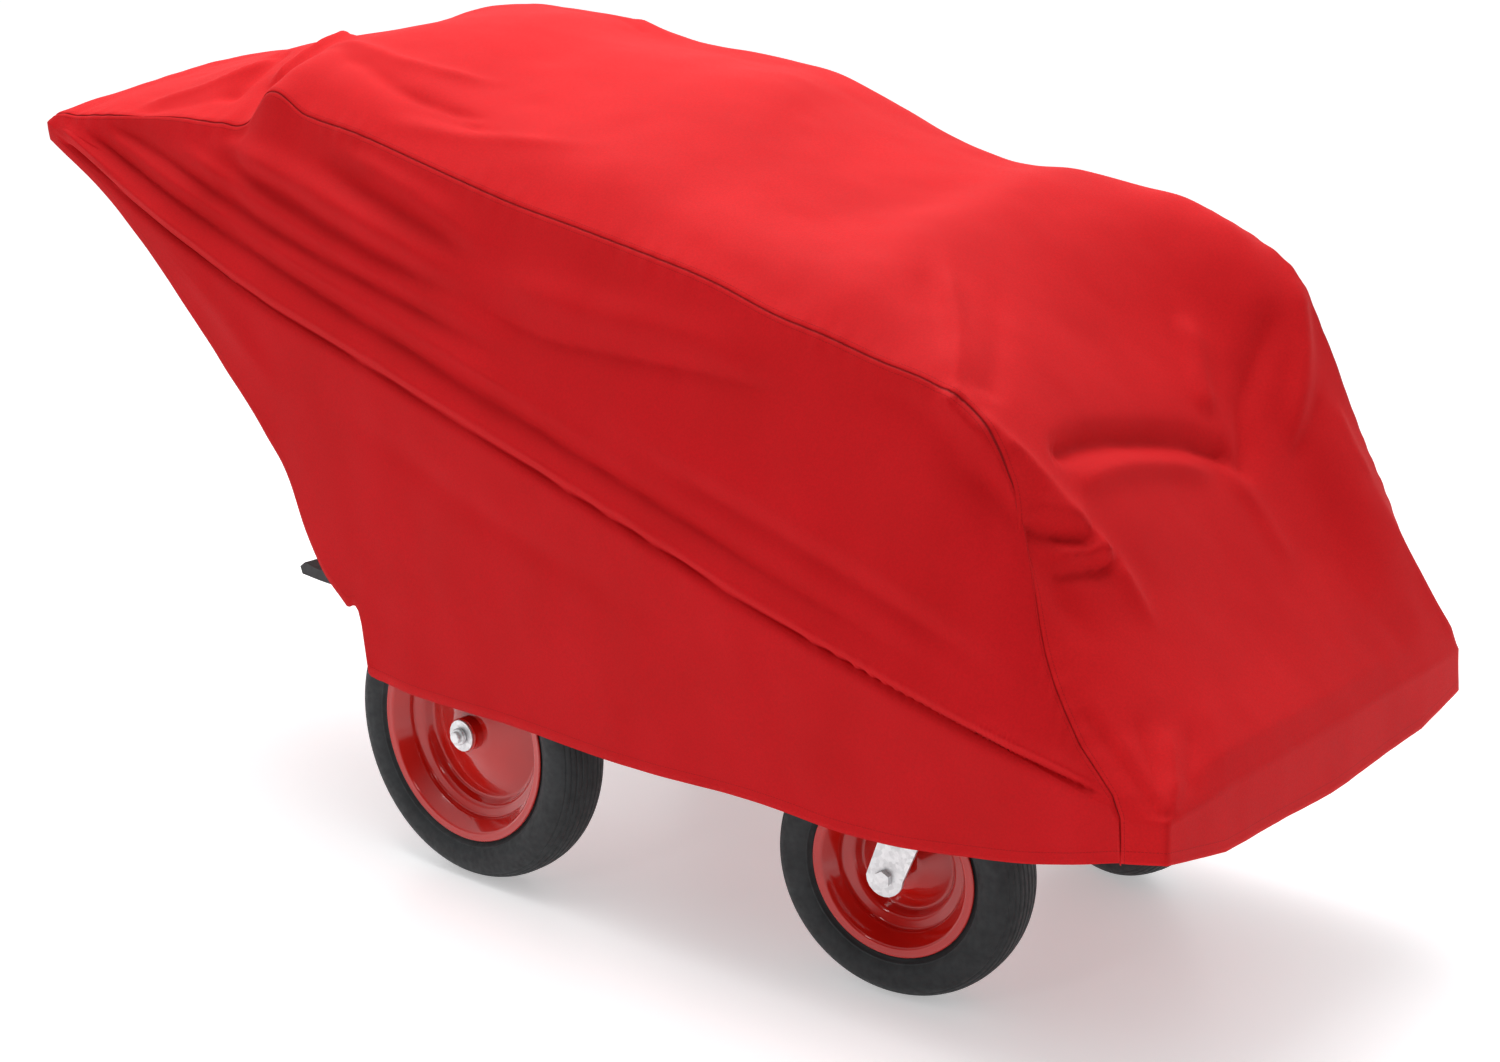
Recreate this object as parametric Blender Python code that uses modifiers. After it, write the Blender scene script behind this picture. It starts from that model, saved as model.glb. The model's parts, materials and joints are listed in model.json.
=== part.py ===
"""Six-seat push buggy under its fitted storage cover.

Metres, +Z up, +X forward, +Y to the buggy's left. The origin is on the floor
below the middle of the whole object.
"""

from math import asin, cos, pi, radians, sin, sqrt

import bmesh
import bpy
from mathutils import Vector

# ---------------------------------------------------------------- driving sizes
GAP = 0.0003                     # clearance between pieces that touch
AXLE_X = -0.128                  # rear axle, fore and aft
REAR_R = 0.2032                  # 16 inch rear tyre
FRONT_R = 0.1651                 # 13 inch front tyre
TYRE_HALF_WIDTH = 0.043          # 3.5 inch section
REAR_WHEEL_Y = 0.313
REAR_FLANGE_R = 0.1470
FRONT_FLANGE_R = 0.1091
RIM_HALF_WIDTH = 0.0365
RIM_SHEET = 0.0028
REAR_HUB_HALF = 0.0340
FRONT_HUB_HALF = 0.0445
WHEEL_STEPS = 32                 # facets round a tyre and its rim
REAR_AXLE_R = 0.0080
REAR_HUB_R = 0.0235
REAR_AXLE_HALF = 0.3625

SWIVEL_X, SWIVEL_Y = 0.587, 0.223
TRAIL = 0.066
SWIVEL_REST = {"left": radians(-18), "right": radians(8.7)}
FORK_GAP_HALF = 0.050
FORK_PLATE = 0.005
FORK_END_R = 0.0245
FORK_TOP_HALF = 0.031
CROWN_Z = 0.3380                 # underside of the fork crown
PLATE_TOP_Z = 0.3600             # underside of the chassis
FRONT_BOLT_R = 0.0060
FRONT_HUB_R = 0.0160

RAIL_Y = 0.140
RAIL_SIZE = 0.030
RAIL_Z = PLATE_TOP_Z + RAIL_SIZE / 2 + GAP
RAIL_REAR_X, RAIL_FRONT_X = -0.465, 0.790

TUB_BOTTOM_Z = PLATE_TOP_Z + RAIL_SIZE + 3 * GAP
TUB_WALL = 0.005
SEAT_HALF_WIDTH = 0.228
SEAT_SHEET = 0.012
BACK_FOOT = 0.020                # where a seat back starts above its pan

COVER_SHEET = 0.003
SEAM_GAP = 0.006
SEAM_BACK = 0.009
COVER_HALF_WIDTH = 0.366

BRAKE_X, BRAKE_Z = -0.385, 0.305
BRAKE_SHAFT_R = 0.008
SHOE_ANGLE = radians(36)         # where the shoes meet the tyres, above the axle's level
SHOE_CLEARANCE = 0.0012          # parked shoes stop just short of the rubber
SHOE_ARM_Y = 0.252

# name: back x at the pan, back top x, back top z, pan z, pan front x, corner radius
SEAT_ROWS = {
    "rear": (-0.390, -0.455, 1.065, 0.700, -0.155, 0.090),
    "middle": (0.030, -0.025, 1.000, 0.620, 0.245, 0.095),
    "front": (0.450, 0.400, 0.870, 0.550, 0.590, 0.085),
}
SIDES = (("left", 1), ("right", -1))

# ---------------------------------------------------------------- scene set-up
for old in list(bpy.data.objects):
    bpy.data.objects.remove(old)

PARTS = bpy.data.collections.new("six_seat_buggy")
CUTTERS = bpy.data.collections.new("cutters")
for group in (PARTS, CUTTERS):
    bpy.context.scene.collection.children.link(group)


def material(name, color, roughness, metallic=0.0):
    made = bpy.data.materials.new(name)
    made.use_nodes = True
    shader = made.node_tree.nodes["Principled BSDF"]
    shader.inputs["Base Color"].default_value = (*color, 1.0)
    shader.inputs["Roughness"].default_value = roughness
    shader.inputs["Metallic"].default_value = metallic
    return made


MATERIALS = {
    "cover_top": material("cover_fabric_top", (0.72, 0.015, 0.022), 0.75),
    "cover_side": material("cover_fabric_side", (0.60, 0.012, 0.018), 0.75),
    "tyre": material("tyre_rubber", (0.028, 0.029, 0.031), 0.75),
    "rim": material("rim_red_enamel", (0.55, 0.010, 0.008), 0.25),
    "zinc": material("zinc_plate", (0.62, 0.64, 0.66), 0.35, 0.9),
    "steel": material("chassis_black_enamel", (0.03, 0.03, 0.032), 0.4, 0.3),
    "tub": material("tub_red_plastic", (0.50, 0.02, 0.02), 0.5),
    "seat": material("seat_grey_plastic", (0.30, 0.31, 0.33), 0.55),
    "webbing": material("harness_webbing", (0.03, 0.03, 0.035), 0.8),
    "foam": material("handle_foam", (0.02, 0.02, 0.02), 0.9),
    "pad": material("brake_rubber", (0.03, 0.03, 0.03), 0.85),
}


# ---------------------------------------------------------------- helpers
def put(name, mesh, finish, parent=None, collection=PARTS):
    made = bpy.data.objects.new(name, mesh)
    collection.objects.link(made)
    made.parent = parent
    if finish:
        mesh.materials.append(MATERIALS[finish])
    return made


def mesh_from(bm, name):
    bmesh.ops.recalc_face_normals(bm, faces=bm.faces)
    mesh = bpy.data.meshes.new(name)
    bm.to_mesh(mesh)
    bm.free()
    return mesh


def smooth(made, degrees=35):
    made.data.shade_smooth()
    made.data.set_sharp_from_angle(angle=radians(degrees))
    return made


def bevel(made, width, segments=2):
    mod = made.modifiers.new("edges", "BEVEL")
    mod.width = width
    mod.segments = segments
    mod.limit_method = "ANGLE"
    mod.angle_limit = radians(40)
    return made


def boolean(made, tool, operation):
    mod = made.modifiers.new(operation.lower(), "BOOLEAN")
    mod.operation = operation
    mod.object = tool
    mod.solver = "EXACT"
    tool.hide_render = True
    tool.display_type = "WIRE"
    return made


def box(name, finish, low, high, parent=None, edge=0.0, collection=PARTS):
    """A box between two corners, with its edges rounded by edge."""
    bm = bmesh.new()
    bmesh.ops.create_cube(bm, size=1.0)
    low, high = Vector(low), Vector(high)
    size, middle = high - low, (high + low) / 2
    for vert in bm.verts:
        vert.co = Vector(c * s for c, s in zip(vert.co, size)) + middle
    made = put(name, mesh_from(bm, name), finish, parent, collection)
    return bevel(made, edge) if edge else made


def turned(name, finish, profile, location, axis="Y", steps=48, parent=None):
    """A closed (radius, height) outline turned about its axis, which lies along Y or Z."""
    bm = bmesh.new()
    verts = [bm.verts.new((radius, 0.0, height)) for radius, height in profile]
    for first, second in zip(verts, verts[1:] + verts[:1]):
        bm.edges.new((first, second))
    mesh = bpy.data.meshes.new(name)
    bm.to_mesh(mesh)
    bm.free()
    made = put(name, mesh, finish, parent)
    made.location = location
    if axis == "Y":
        made.rotation_euler = (-pi / 2, 0.0, 0.0)
    mod = made.modifiers.new("turn", "SCREW")
    mod.steps = mod.render_steps = steps
    mod.use_merge_vertices = True
    mod.merge_threshold = 0.00001
    return made


def ring(outer, inner, low, high, chamfer=0.0):
    """The outline of a plain ring, which runs down its outer side."""
    c = chamfer
    outline = [(outer - c, high), (outer, high - c), (outer, low + c), (outer - c, low)]
    if not c:
        outline = [(outer, high), (outer, low)]
    return outline + [(inner, low), (inner, high)]


def rod(name, finish, radius, start, end, parent=None, vertices=24, edge=0.0, collection=PARTS):
    """A solid round or many-sided bar from start to end."""
    start, end = Vector(start), Vector(end)
    bm = bmesh.new()
    bmesh.ops.create_cone(
        bm, cap_ends=True, segments=vertices, radius1=radius, radius2=radius,
        depth=(end - start).length,
    )
    made = put(name, mesh_from(bm, name), finish, parent, collection)
    made.location = (start + end) / 2
    made.rotation_euler = (end - start).to_track_quat("Z", "Y").to_euler()
    return bevel(made, edge, 1) if edge else made


def rounded_path(points, radius, steps=6):
    """The polyline through points with each inner corner turned by an arc-like curve."""
    points = [Vector(p) for p in points]
    path = [points[0]]
    for before, corner, after in zip(points, points[1:], points[2:]):
        into = corner + (before - corner).normalized() * radius
        out = corner + (after - corner).normalized() * radius
        for i in range(steps + 1):
            t = i / steps
            path.append((1 - t) ** 2 * into + 2 * t * (1 - t) * corner + t * t * out)
    return path + [points[-1]]


def tube(name, finish, points, radius, sides=2, parent=None):
    """A bar bent along points, as a bevelled curve with filled caps."""
    data = bpy.data.curves.new(name, "CURVE")
    data.dimensions = "3D"
    data.bevel_depth = radius
    data.bevel_resolution = sides
    data.use_fill_caps = True
    spline = data.splines.new("POLY")
    spline.points.add(len(points) - 1)
    for point, co in zip(spline.points, points):
        point.co = (*co, 1.0)
    data.materials.append(MATERIALS[finish])
    made = bpy.data.objects.new(name, data)
    PARTS.objects.link(made)
    made.parent = parent
    return made


def loft(sections, closed=True):
    """Faces between sections of equal length; closed sections get an end face each."""
    bm = bmesh.new()
    rows = [[bm.verts.new(p) for p in section] for section in sections]
    count = len(rows[0])
    spans = count if closed else count - 1
    for first, second in zip(rows, rows[1:]):
        for i in range(spans):
            j = (i + 1) % count
            bm.faces.new((first[i], first[j], second[j], second[i]))
    if closed:
        bm.faces.new(rows[0])
        bm.faces.new(rows[-1])
    return bm


def plate(name, finish, outline, low, high, parent=None, collection=PARTS):
    """An (x, z) outline made solid between two y planes."""
    sections = [[(x, y, z) for x, z in outline] for y in (low, high)]
    return put(name, mesh_from(loft(sections), name), finish, parent, collection)


def sheet(name, finish, rows, thickness, inner):
    """An open grid of points given thickness; inner is 1 where its faces look inwards, else -1."""
    bm = loft(rows, closed=False)
    mesh = bpy.data.meshes.new(name)
    bm.to_mesh(mesh)
    bm.free()
    made = put(name, mesh, finish)
    mod = made.modifiers.new("cloth", "SOLIDIFY")
    mod.thickness = thickness
    mod.offset = inner
    mod.use_even_offset = True
    return made


def along(points, x):
    """The values at x on a smooth curve through points, whose first values are x."""
    if x <= points[0][0]:
        return points[0][1:]
    for i in range(len(points) - 1):
        if x <= points[i + 1][0]:
            break
    else:
        return points[-1][1:]
    knots = [points[max(i - 1, 0)], points[i], points[i + 1], points[min(i + 2, len(points) - 1)]]
    span = knots[2][0] - knots[1][0]
    t = (x - knots[1][0]) / span
    values = []
    for before, a, b, after in zip(*(k[1:] for k in knots)):
        slope_a = (b - before) / max(knots[2][0] - knots[0][0], 1e-9) * span
        slope_b = (after - a) / max(knots[3][0] - knots[1][0], 1e-9) * span
        values.append(
            (2 * t**3 - 3 * t**2 + 1) * a + (t**3 - 2 * t**2 + t) * slope_a
            + (3 * t**2 - 2 * t**3) * b + (t**3 - t**2) * slope_b
        )
    return values


def pivot(name, location, turn=0.0, parent=None):
    made = bpy.data.objects.new(name, None)
    PARTS.objects.link(made)
    made.location = location
    made.rotation_euler = (0.0, 0.0, turn)
    made.parent = parent
    return made


# ---------------------------------------------------------------- wheels
def tyre_outline(radius, flange):
    """A flat-free tyre's section: bead, bulging sidewall, grooved shoulder and crown."""
    bead = flange - 0.0115 + RIM_SHEET + GAP
    wall = TYRE_HALF_WIDTH
    height = radius - flange
    half = [
        (bead, RIM_HALF_WIDTH - 0.004 - GAP),
        (flange + 0.001, RIM_HALF_WIDTH - 0.0036),
        (flange + 0.004, wall - 0.004),
        (flange + height * 0.45, wall),
        (flange + height * 0.84, wall - 0.009),
        (radius, 0.016),
    ]
    return [(r, a) for r, a in half] + [(r, -a) for r, a in reversed(half)]


def rim_outline(flange, hub, sign):
    """A drop-centre barrel and, inside it, a ledge, a bowl and a disc that rises to the hub.

    The disc rises towards +Y, or towards -Y where sign is -1.
    """
    seat, well, t = flange - 0.0115, flange - 0.026, RIM_SHEET
    edge = RIM_HALF_WIDTH
    outer = [(flange, edge), (flange, edge - t), (seat + t, edge - t), (well + t, 0.0140)]
    back = [(seat, -edge), (well, -0.0160), (well, 0.0060), (flange - 0.040, 0.0030),
            (flange - 0.047, -0.0108), (hub + 0.010, 0.0130), (hub, 0.0150)]
    front = [(hub, 0.0180), (hub + 0.010, 0.0160), (flange - 0.0475, -0.0075),
             (flange - 0.0405, 0.0060), (well, 0.0095), (well, 0.0160), (seat, edge)]
    outline = [*outer, *((r, -a) for r, a in reversed(outer)), *back, *front]
    return outline if sign > 0 else [(r, -a) for r, a in reversed(outline)]


def wheel(label, sizes, sign, location, parent=None):
    radius, flange, hub, bore, hub_half = sizes
    turned(f"{label}_tyre", "tyre", tyre_outline(radius, flange), location, steps=WHEEL_STEPS,
           parent=parent)
    smooth_rim = turned(f"{label}_rim", "rim", rim_outline(flange, hub + GAP, sign), location,
                        steps=WHEEL_STEPS, parent=parent)
    smooth(smooth_rim)
    turned(f"{label}_hub", "zinc",
           ring(hub, bore + GAP, -hub_half, hub_half, 0.002), location,
           steps=20, parent=parent)


REAR_SIZES = (REAR_R, REAR_FLANGE_R, REAR_HUB_R, REAR_AXLE_R, REAR_HUB_HALF)
FRONT_SIZES = (FRONT_R, FRONT_FLANGE_R, FRONT_HUB_R, FRONT_BOLT_R, FRONT_HUB_HALF)


def rear_wheels():
    rod("rear_axle", "zinc", REAR_AXLE_R, (AXLE_X, -REAR_AXLE_HALF, REAR_R),
        (AXLE_X, REAR_AXLE_HALF, REAR_R),
        edge=0.001)
    for side, sign in SIDES:
        centre = (AXLE_X, sign * REAR_WHEEL_Y, REAR_R)
        wheel(f"rear_{side}", REAR_SIZES, sign, centre)
        face = REAR_WHEEL_Y + REAR_HUB_HALF + GAP
        turned(f"rear_washer_{side}", "zinc",
               ring(0.0215, REAR_AXLE_R + GAP, -0.0012, 0.0012),
               (AXLE_X, sign * (face + 0.0012), REAR_R), steps=20)
        turned(f"rear_push_nut_{side}", "zinc",
               ring(0.0115, REAR_AXLE_R + GAP, -0.0035, 0.0035, 0.0012),
               (AXLE_X, sign * (face + 0.0024 + GAP + 0.0035), REAR_R), steps=16)


# ---------------------------------------------------------------- casters
def fork(side, caster):
    """Two raked side plates and a crown, bent from one plate."""
    drop = CROWN_Z - FRONT_R
    lean = asin((FORK_END_R - FORK_TOP_HALF * 0.62) / drop)
    arc = [-pi + lean + (pi - 2 * lean) * i / 10 for i in range(11)]
    legs = [(-TRAIL + FORK_END_R * cos(a), FRONT_R + FORK_END_R * sin(a)) for a in arc]
    outline = legs + [(FORK_TOP_HALF, CROWN_Z + FORK_PLATE), (-FORK_TOP_HALF, CROWN_Z + FORK_PLATE)]
    outside = FORK_GAP_HALF + FORK_PLATE
    made = plate(f"caster_fork_{side}", "zinc", outline, FORK_GAP_HALF, outside, caster)
    other = plate(f"fork_leg_{side}_other", None, outline, -outside, -FORK_GAP_HALF, caster, CUTTERS)
    crown = box(f"fork_crown_{side}", None, (-0.034, -outside + 0.001, CROWN_Z),
                (0.034, outside - 0.001, CROWN_Z + FORK_PLATE), caster, collection=CUTTERS)
    holes = rod(f"fork_bore_{side}", None, FRONT_BOLT_R + GAP, (-TRAIL, -0.07, FRONT_R),
                (-TRAIL, 0.07, FRONT_R), caster, collection=CUTTERS)
    boolean(made, other, "UNION")
    boolean(made, crown, "UNION")
    boolean(made, holes, "DIFFERENCE")


def casters():
    for side, sign in SIDES:
        base = (SWIVEL_X, sign * SWIVEL_Y, 0.0)
        caster = pivot(f"caster_{side}_swivel", base, SWIVEL_REST[side])
        fork(side, caster)
        centre = (-TRAIL, 0.0, FRONT_R)
        wheel(f"front_{side}", FRONT_SIZES, sign, centre, caster)
        outside = FORK_GAP_HALF + FORK_PLATE + GAP
        bolt = rod(f"caster_bolt_{side}", "zinc", FRONT_BOLT_R,
                   (-TRAIL, sign * (outside + 0.003), FRONT_R),
                   (-TRAIL, -sign * (outside + 0.014), FRONT_R), caster, 24)
        head = rod(f"bolt_head_{side}", None, 0.0108, (-TRAIL, sign * outside, FRONT_R),
                   (-TRAIL, sign * (outside + 0.0075), FRONT_R), caster, 6, collection=CUTTERS)
        boolean(bolt, head, "UNION")
        nut = rod(f"caster_nut_{side}", "zinc", 0.0108, (-TRAIL, -sign * outside, FRONT_R),
                  (-TRAIL, -sign * (outside + 0.009), FRONT_R), caster, 6)
        bore = rod(f"nut_bore_{side}", None, FRONT_BOLT_R + GAP, (-TRAIL, -sign * 0.05, FRONT_R),
                   (-TRAIL, -sign * 0.08, FRONT_R), caster, 24, collection=CUTTERS)
        boolean(nut, bore, "DIFFERENCE")
        crown_top = CROWN_Z + FORK_PLATE
        plate_low = PLATE_TOP_Z - 0.005
        turned(f"swivel_bearing_{side}", "zinc",
               ring(0.030, 0.008, crown_top + GAP, plate_low - GAP), base, "Z", 24)
        box(f"caster_plate_{side}", "zinc",
            (SWIVEL_X - 0.055, sign * SWIVEL_Y - 0.045, plate_low),
            (SWIVEL_X + 0.055, sign * SWIVEL_Y + 0.045, PLATE_TOP_Z - GAP), edge=0.0012)


# ---------------------------------------------------------------- chassis
def chassis():
    half = RAIL_SIZE / 2
    low, high = RAIL_Z - half, RAIL_Z + half
    for side, sign in SIDES:
        y = sign * RAIL_Y
        box(f"chassis_rail_{side}", "steel", (RAIL_REAR_X, y - half, low),
            (RAIL_FRONT_X, y + half, high), edge=0.003)
        hanger(side, sign)
    inner = RAIL_Y - half - GAP
    for name, x in (("rear", AXLE_X - 0.22), ("middle", 0.165)):
        box(f"cross_member_{name}", "steel", (x - half, -inner, low), (x + half, inner, high),
            edge=0.003)
    outer = SWIVEL_Y + 0.045
    box("cross_member_front", "steel", (SWIVEL_X - 0.020, -outer, low - GAP),
        (SWIVEL_X + 0.020, outer, high), edge=0.003)
    for side, sign in SIDES:
        notch_rail(side, sign, low, high)


def notch_rail(side, sign, low, high):
    """The front cross member passes through both rails, welded in place."""
    rail = bpy.data.objects[f"chassis_rail_{side}"]
    half = RAIL_SIZE / 2
    y = sign * RAIL_Y
    hole = box(f"rail_notch_{side}", None,
               (SWIVEL_X - 0.020 - GAP, y - half - 0.01, low - 0.01),
               (SWIVEL_X + 0.020 + GAP, y + half + 0.01, high - 0.006), collection=CUTTERS)
    boolean(rail, hole, "DIFFERENCE")
    member = bpy.data.objects["cross_member_front"]
    saddle = box(f"member_notch_{side}", None,
                 (SWIVEL_X - 0.05, y - half - GAP, high - 0.006 - GAP),
                 (SWIVEL_X + 0.05, y + half + GAP, high + 0.01), collection=CUTTERS)
    boolean(member, saddle, "DIFFERENCE")


def hanger(side, sign):
    """A plate welded to the rail that drops to the rear axle."""
    low = RAIL_Z - RAIL_SIZE / 2
    arc = [-pi + pi * i / 10 for i in range(11)]
    foot = [(AXLE_X + 0.024 * cos(a), REAR_R + 0.024 * sin(a)) for a in arc]
    outline = foot + [(AXLE_X + 0.07, low - GAP), (AXLE_X - 0.07, low - GAP)]
    y = sign * RAIL_Y
    made = plate(f"axle_hanger_{side}", "steel", outline, y - 0.004, y + 0.004)
    bore = rod(f"hanger_bore_{side}", None, REAR_AXLE_R + GAP, (AXLE_X, y - 0.02, REAR_R),
               (AXLE_X, y + 0.02, REAR_R), collection=CUTTERS)
    boolean(made, bore, "DIFFERENCE")


# ---------------------------------------------------------------- tub and seats
RIM_HEIGHT = [(-0.525, 0.950), (-0.255, 0.910), (0.175, 0.830), (0.500, 0.745), (0.600, 0.690),
              (0.690, 0.590)]


def plan_outline(rear, front, half_width, radius, front_radius):
    """A plan outline with round corners, anticlockwise from the front right."""
    corners = ((front, half_width, front_radius, 0.0), (rear, half_width, radius, pi / 2),
               (rear, -half_width, radius, pi), (front, -half_width, front_radius, 3 * pi / 2))
    outline = []
    for x, y, r, start in corners:
        cx = x - r if x == front else x + r
        cy = y - r if y > 0 else y + r
        for i in range(5):
            a = start + pi / 2 * i / 4
            outline.append((cx + r * cos(a), cy + r * sin(a)))
    return outline


def tub():
    """The moulded body: a flat floor, walls that lean out and a rolled rim that climbs aft."""
    floor = plan_outline(-0.410, 0.865, 0.245, 0.05, 0.10)
    wide = plan_outline(-0.440, 0.885, 0.252, 0.06, 0.11)
    step = plan_outline(-0.455, 0.740, 0.262, 0.06, 0.12)
    rim = plan_outline(-0.510, 0.680, 0.272, 0.06, 0.12)
    lip = plan_outline(-0.522, 0.692, 0.284, 0.07, 0.13)
    rows = [
        [(x, y, TUB_BOTTOM_Z) for x, y in floor],
        [(x, y, TUB_BOTTOM_Z + 0.022) for x, y in wide],
        [(x, y, TUB_BOTTOM_Z + 0.085) for x, y in step],
        [(x, y, along(RIM_HEIGHT, x)[0]) for x, y in rim],
        [(x, y, along(RIM_HEIGHT, x)[0]) for x, y in lip],
        [(x, y, along(RIM_HEIGHT, x)[0] - 0.016) for x, y in lip],
    ]
    bm = bmesh.new()
    loops = [[bm.verts.new(p) for p in row] for row in rows]
    count = len(floor)
    for first, second in zip(loops, loops[1:]):
        for i in range(count):
            j = (i + 1) % count
            bm.faces.new((first[i], first[j], second[j], second[i]))
    bm.faces.new(loops[0][::-1])
    mesh = bpy.data.meshes.new("tub")
    bm.to_mesh(mesh)
    bm.free()
    made = put("tub", mesh, "tub")
    mod = made.modifiers.new("wall", "SOLIDIFY")
    mod.thickness = TUB_WALL
    mod.offset = -1.0
    mod.use_even_offset = True
    smooth(made, 50)


def seat_row(name):
    """One moulded bench across the tub: riser, pan and a back with round top corners."""
    back_x, top_x, top_z, pan_z, front_x, corner = SEAT_ROWS[name]
    floor = TUB_BOTTOM_Z + TUB_WALL + GAP
    t = SEAT_SHEET
    sections = []
    inset = [0.0, 0.004, corner * 0.3, corner * 0.6, corner, corner * 2]
    steps = [-SEAT_HALF_WIDTH + d for d in inset] + [SEAT_HALF_WIDTH - d for d in reversed(inset)]
    for y in steps:
        into = max(corner - (SEAT_HALF_WIDTH - abs(y)), 0.0)
        top = top_z - corner + sqrt(max(corner**2 - into**2, 0.0))
        share = (top - pan_z - BACK_FOOT) / (top_z - pan_z - BACK_FOOT)
        x = back_x + (top_x - back_x) * share
        sections.append([
            (front_x, y, floor), (front_x, y, pan_z - 0.012), (front_x - 0.012, y, pan_z),
            (back_x + 0.03, y, pan_z - 0.006), (back_x, y, pan_z + BACK_FOOT), (x, y, top),
            (x - 0.018, y, top), (back_x - 0.020, y, pan_z + BACK_FOOT), (back_x - 0.012, y, pan_z - t),
            (front_x - 0.018, y, pan_z - t), (front_x - t, y, pan_z - 0.020), (front_x - t, y, floor),
        ])
    made = put(f"seat_row_{name}", mesh_from(loft(sections), name), "seat")
    smooth(made, 40)


def harness(row, side, sign):
    """Two shoulder straps that meet at a buckle and a crotch strap on one seat."""
    back_x, top_x, top_z, pan_z, front_x, _ = SEAT_ROWS[row]
    lean = (top_x - back_x) / (top_z - pan_z - BACK_FOOT)
    y = sign * SEAT_HALF_WIDTH / 2
    low, high = pan_z + 0.035, top_z - 0.10
    lift = 0.0015

    def on_back(y_at, z_at, out):
        return (back_x + lean * (z_at - pan_z - BACK_FOOT) + out, y_at, z_at)

    def strap(label, y_low, y_high):
        rows = []
        for out in (lift, lift + 0.003):
            rows.append([on_back(y_low - 0.012, low, out), on_back(y_low + 0.012, low, out),
                         on_back(y_high + 0.012, high, out), on_back(y_high - 0.012, high, out)])
        return mesh_from(loft(rows), label)

    name = f"harness_{row}_{side}"
    made = put(name, strap(name, y - 0.010, y - 0.055), "webbing")
    other = put(f"{name}_other", strap("other", y + 0.010, y + 0.055), None, None, CUTTERS)
    foot = on_back(y, low - 0.010, lift)
    buckle = box(f"{name}_buckle", None, (foot[0], y - 0.028, low - 0.010),
                 (foot[0] + 0.014, y + 0.028, low + 0.040), collection=CUTTERS)
    boolean(made, other, "UNION")
    boolean(made, buckle, "UNION")


def grab_bar():
    """A hoop that rises from the tub's floor beside the front row and crosses in front of it."""
    half, radius, top, x = 0.170, 0.0125, 0.715, 0.625
    foot_z = TUB_BOTTOM_Z + TUB_WALL + GAP
    points = [(x, -half, foot_z), (x, -half, top), (x, half, top), (x, half, foot_z)]
    tube("front_grab_bar", "steel", rounded_path(points, 0.07), radius)


HANDLE_X = -0.920
HANDLE_HALF = 0.318
HANDLE_R = 0.0125
GRIP_R = 0.0175
GRIP_HALF = 0.260


def bar_height(y):
    """The crossbar is bowed: highest at its middle."""
    return 0.996 - 0.67 * y * y


def bar_points(half, steps):
    """Points along the crossbar from its left end at y = half to its right end."""
    spots = [half * (1 - 2 * i / steps) for i in range(steps + 1)]
    return [Vector((HANDLE_X, y, bar_height(y))) for y in spots]


def sleeve(name, finish, path, outer, inner, sides=20):
    """A tube with an open bore along a path that runs across the buggy."""
    bm = bmesh.new()
    forward = Vector((1.0, 0.0, 0.0))
    skins = []
    for radius in (outer, inner):
        rings = []
        for i, point in enumerate(path):
            tangent = (path[min(i + 1, len(path) - 1)] - path[max(i - 1, 0)]).normalized()
            up = tangent.cross(forward)
            angles = [2 * pi * k / sides for k in range(sides)]
            rings.append([bm.verts.new(point + radius * (cos(a) * forward + sin(a) * up))
                          for a in angles])
        skins.append(rings)
    for rings in skins:
        for first, second in zip(rings, rings[1:]):
            for k in range(sides):
                m = (k + 1) % sides
                bm.faces.new((first[k], first[m], second[m], second[k]))
    for end in (0, -1):
        around, bore = skins[0][end], skins[1][end]
        for k in range(sides):
            m = (k + 1) % sides
            bm.faces.new((around[k], around[m], bore[m], bore[k]))
    return smooth(put(name, mesh_from(bm, name), finish))


def push_handle():
    """A bent tube from the rails' rear ends up and back to a bowed crossbar with a foam grip."""
    foot_x = RAIL_REAR_X - GAP - HANDLE_R
    corner_z = bar_height(HANDLE_HALF)
    leg = [(foot_x, RAIL_Y, PLATE_TOP_Z), (foot_x, RAIL_Y, 0.430), (-0.585, 0.215, 0.640),
           (HANDLE_X + 0.020, HANDLE_HALF - 0.006, corner_z - 0.016),
           (HANDLE_X, HANDLE_HALF, corner_z), (HANDLE_X, HANDLE_HALF - 0.04, bar_height(0.278))]
    left = rounded_path(leg, 0.016, 4)
    right = [Vector((p.x, -p.y, p.z)) for p in reversed(left)]
    tube("push_handle", "steel", left + bar_points(GRIP_HALF, 12) + right, HANDLE_R)
    sleeve("handle_grip", "foam", bar_points(GRIP_HALF, 12), GRIP_R, HANDLE_R + 2 * GAP)


# ---------------------------------------------------------------- brake
def brake():
    shaft = pivot("brake_pivot", (BRAKE_X, 0.0, BRAKE_Z))
    rod("brake_shaft", "zinc", BRAKE_SHAFT_R, (0, -0.258, 0), (0, 0.258, 0), shaft, 20)
    low = RAIL_Z - RAIL_SIZE / 2
    for side, sign in SIDES:
        arm(side, sign, shaft)
        y = sign * RAIL_Y
        arc = [-pi + pi * i / 8 for i in range(9)]
        foot = [(BRAKE_X + 0.018 * cos(a), BRAKE_Z + 0.018 * sin(a)) for a in arc]
        outline = foot + [(BRAKE_X + 0.030, low - GAP), (BRAKE_X - 0.030, low - GAP)]
        made = plate(f"brake_bracket_{side}", "steel", outline, y - 0.003, y + 0.003)
        bore = rod(f"bracket_bore_{side}", None, BRAKE_SHAFT_R + GAP, (BRAKE_X, y - 0.02, BRAKE_Z),
                   (BRAKE_X, y + 0.02, BRAKE_Z), collection=CUTTERS)
        boolean(made, bore, "DIFFERENCE")
    pedal(shaft)


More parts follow.
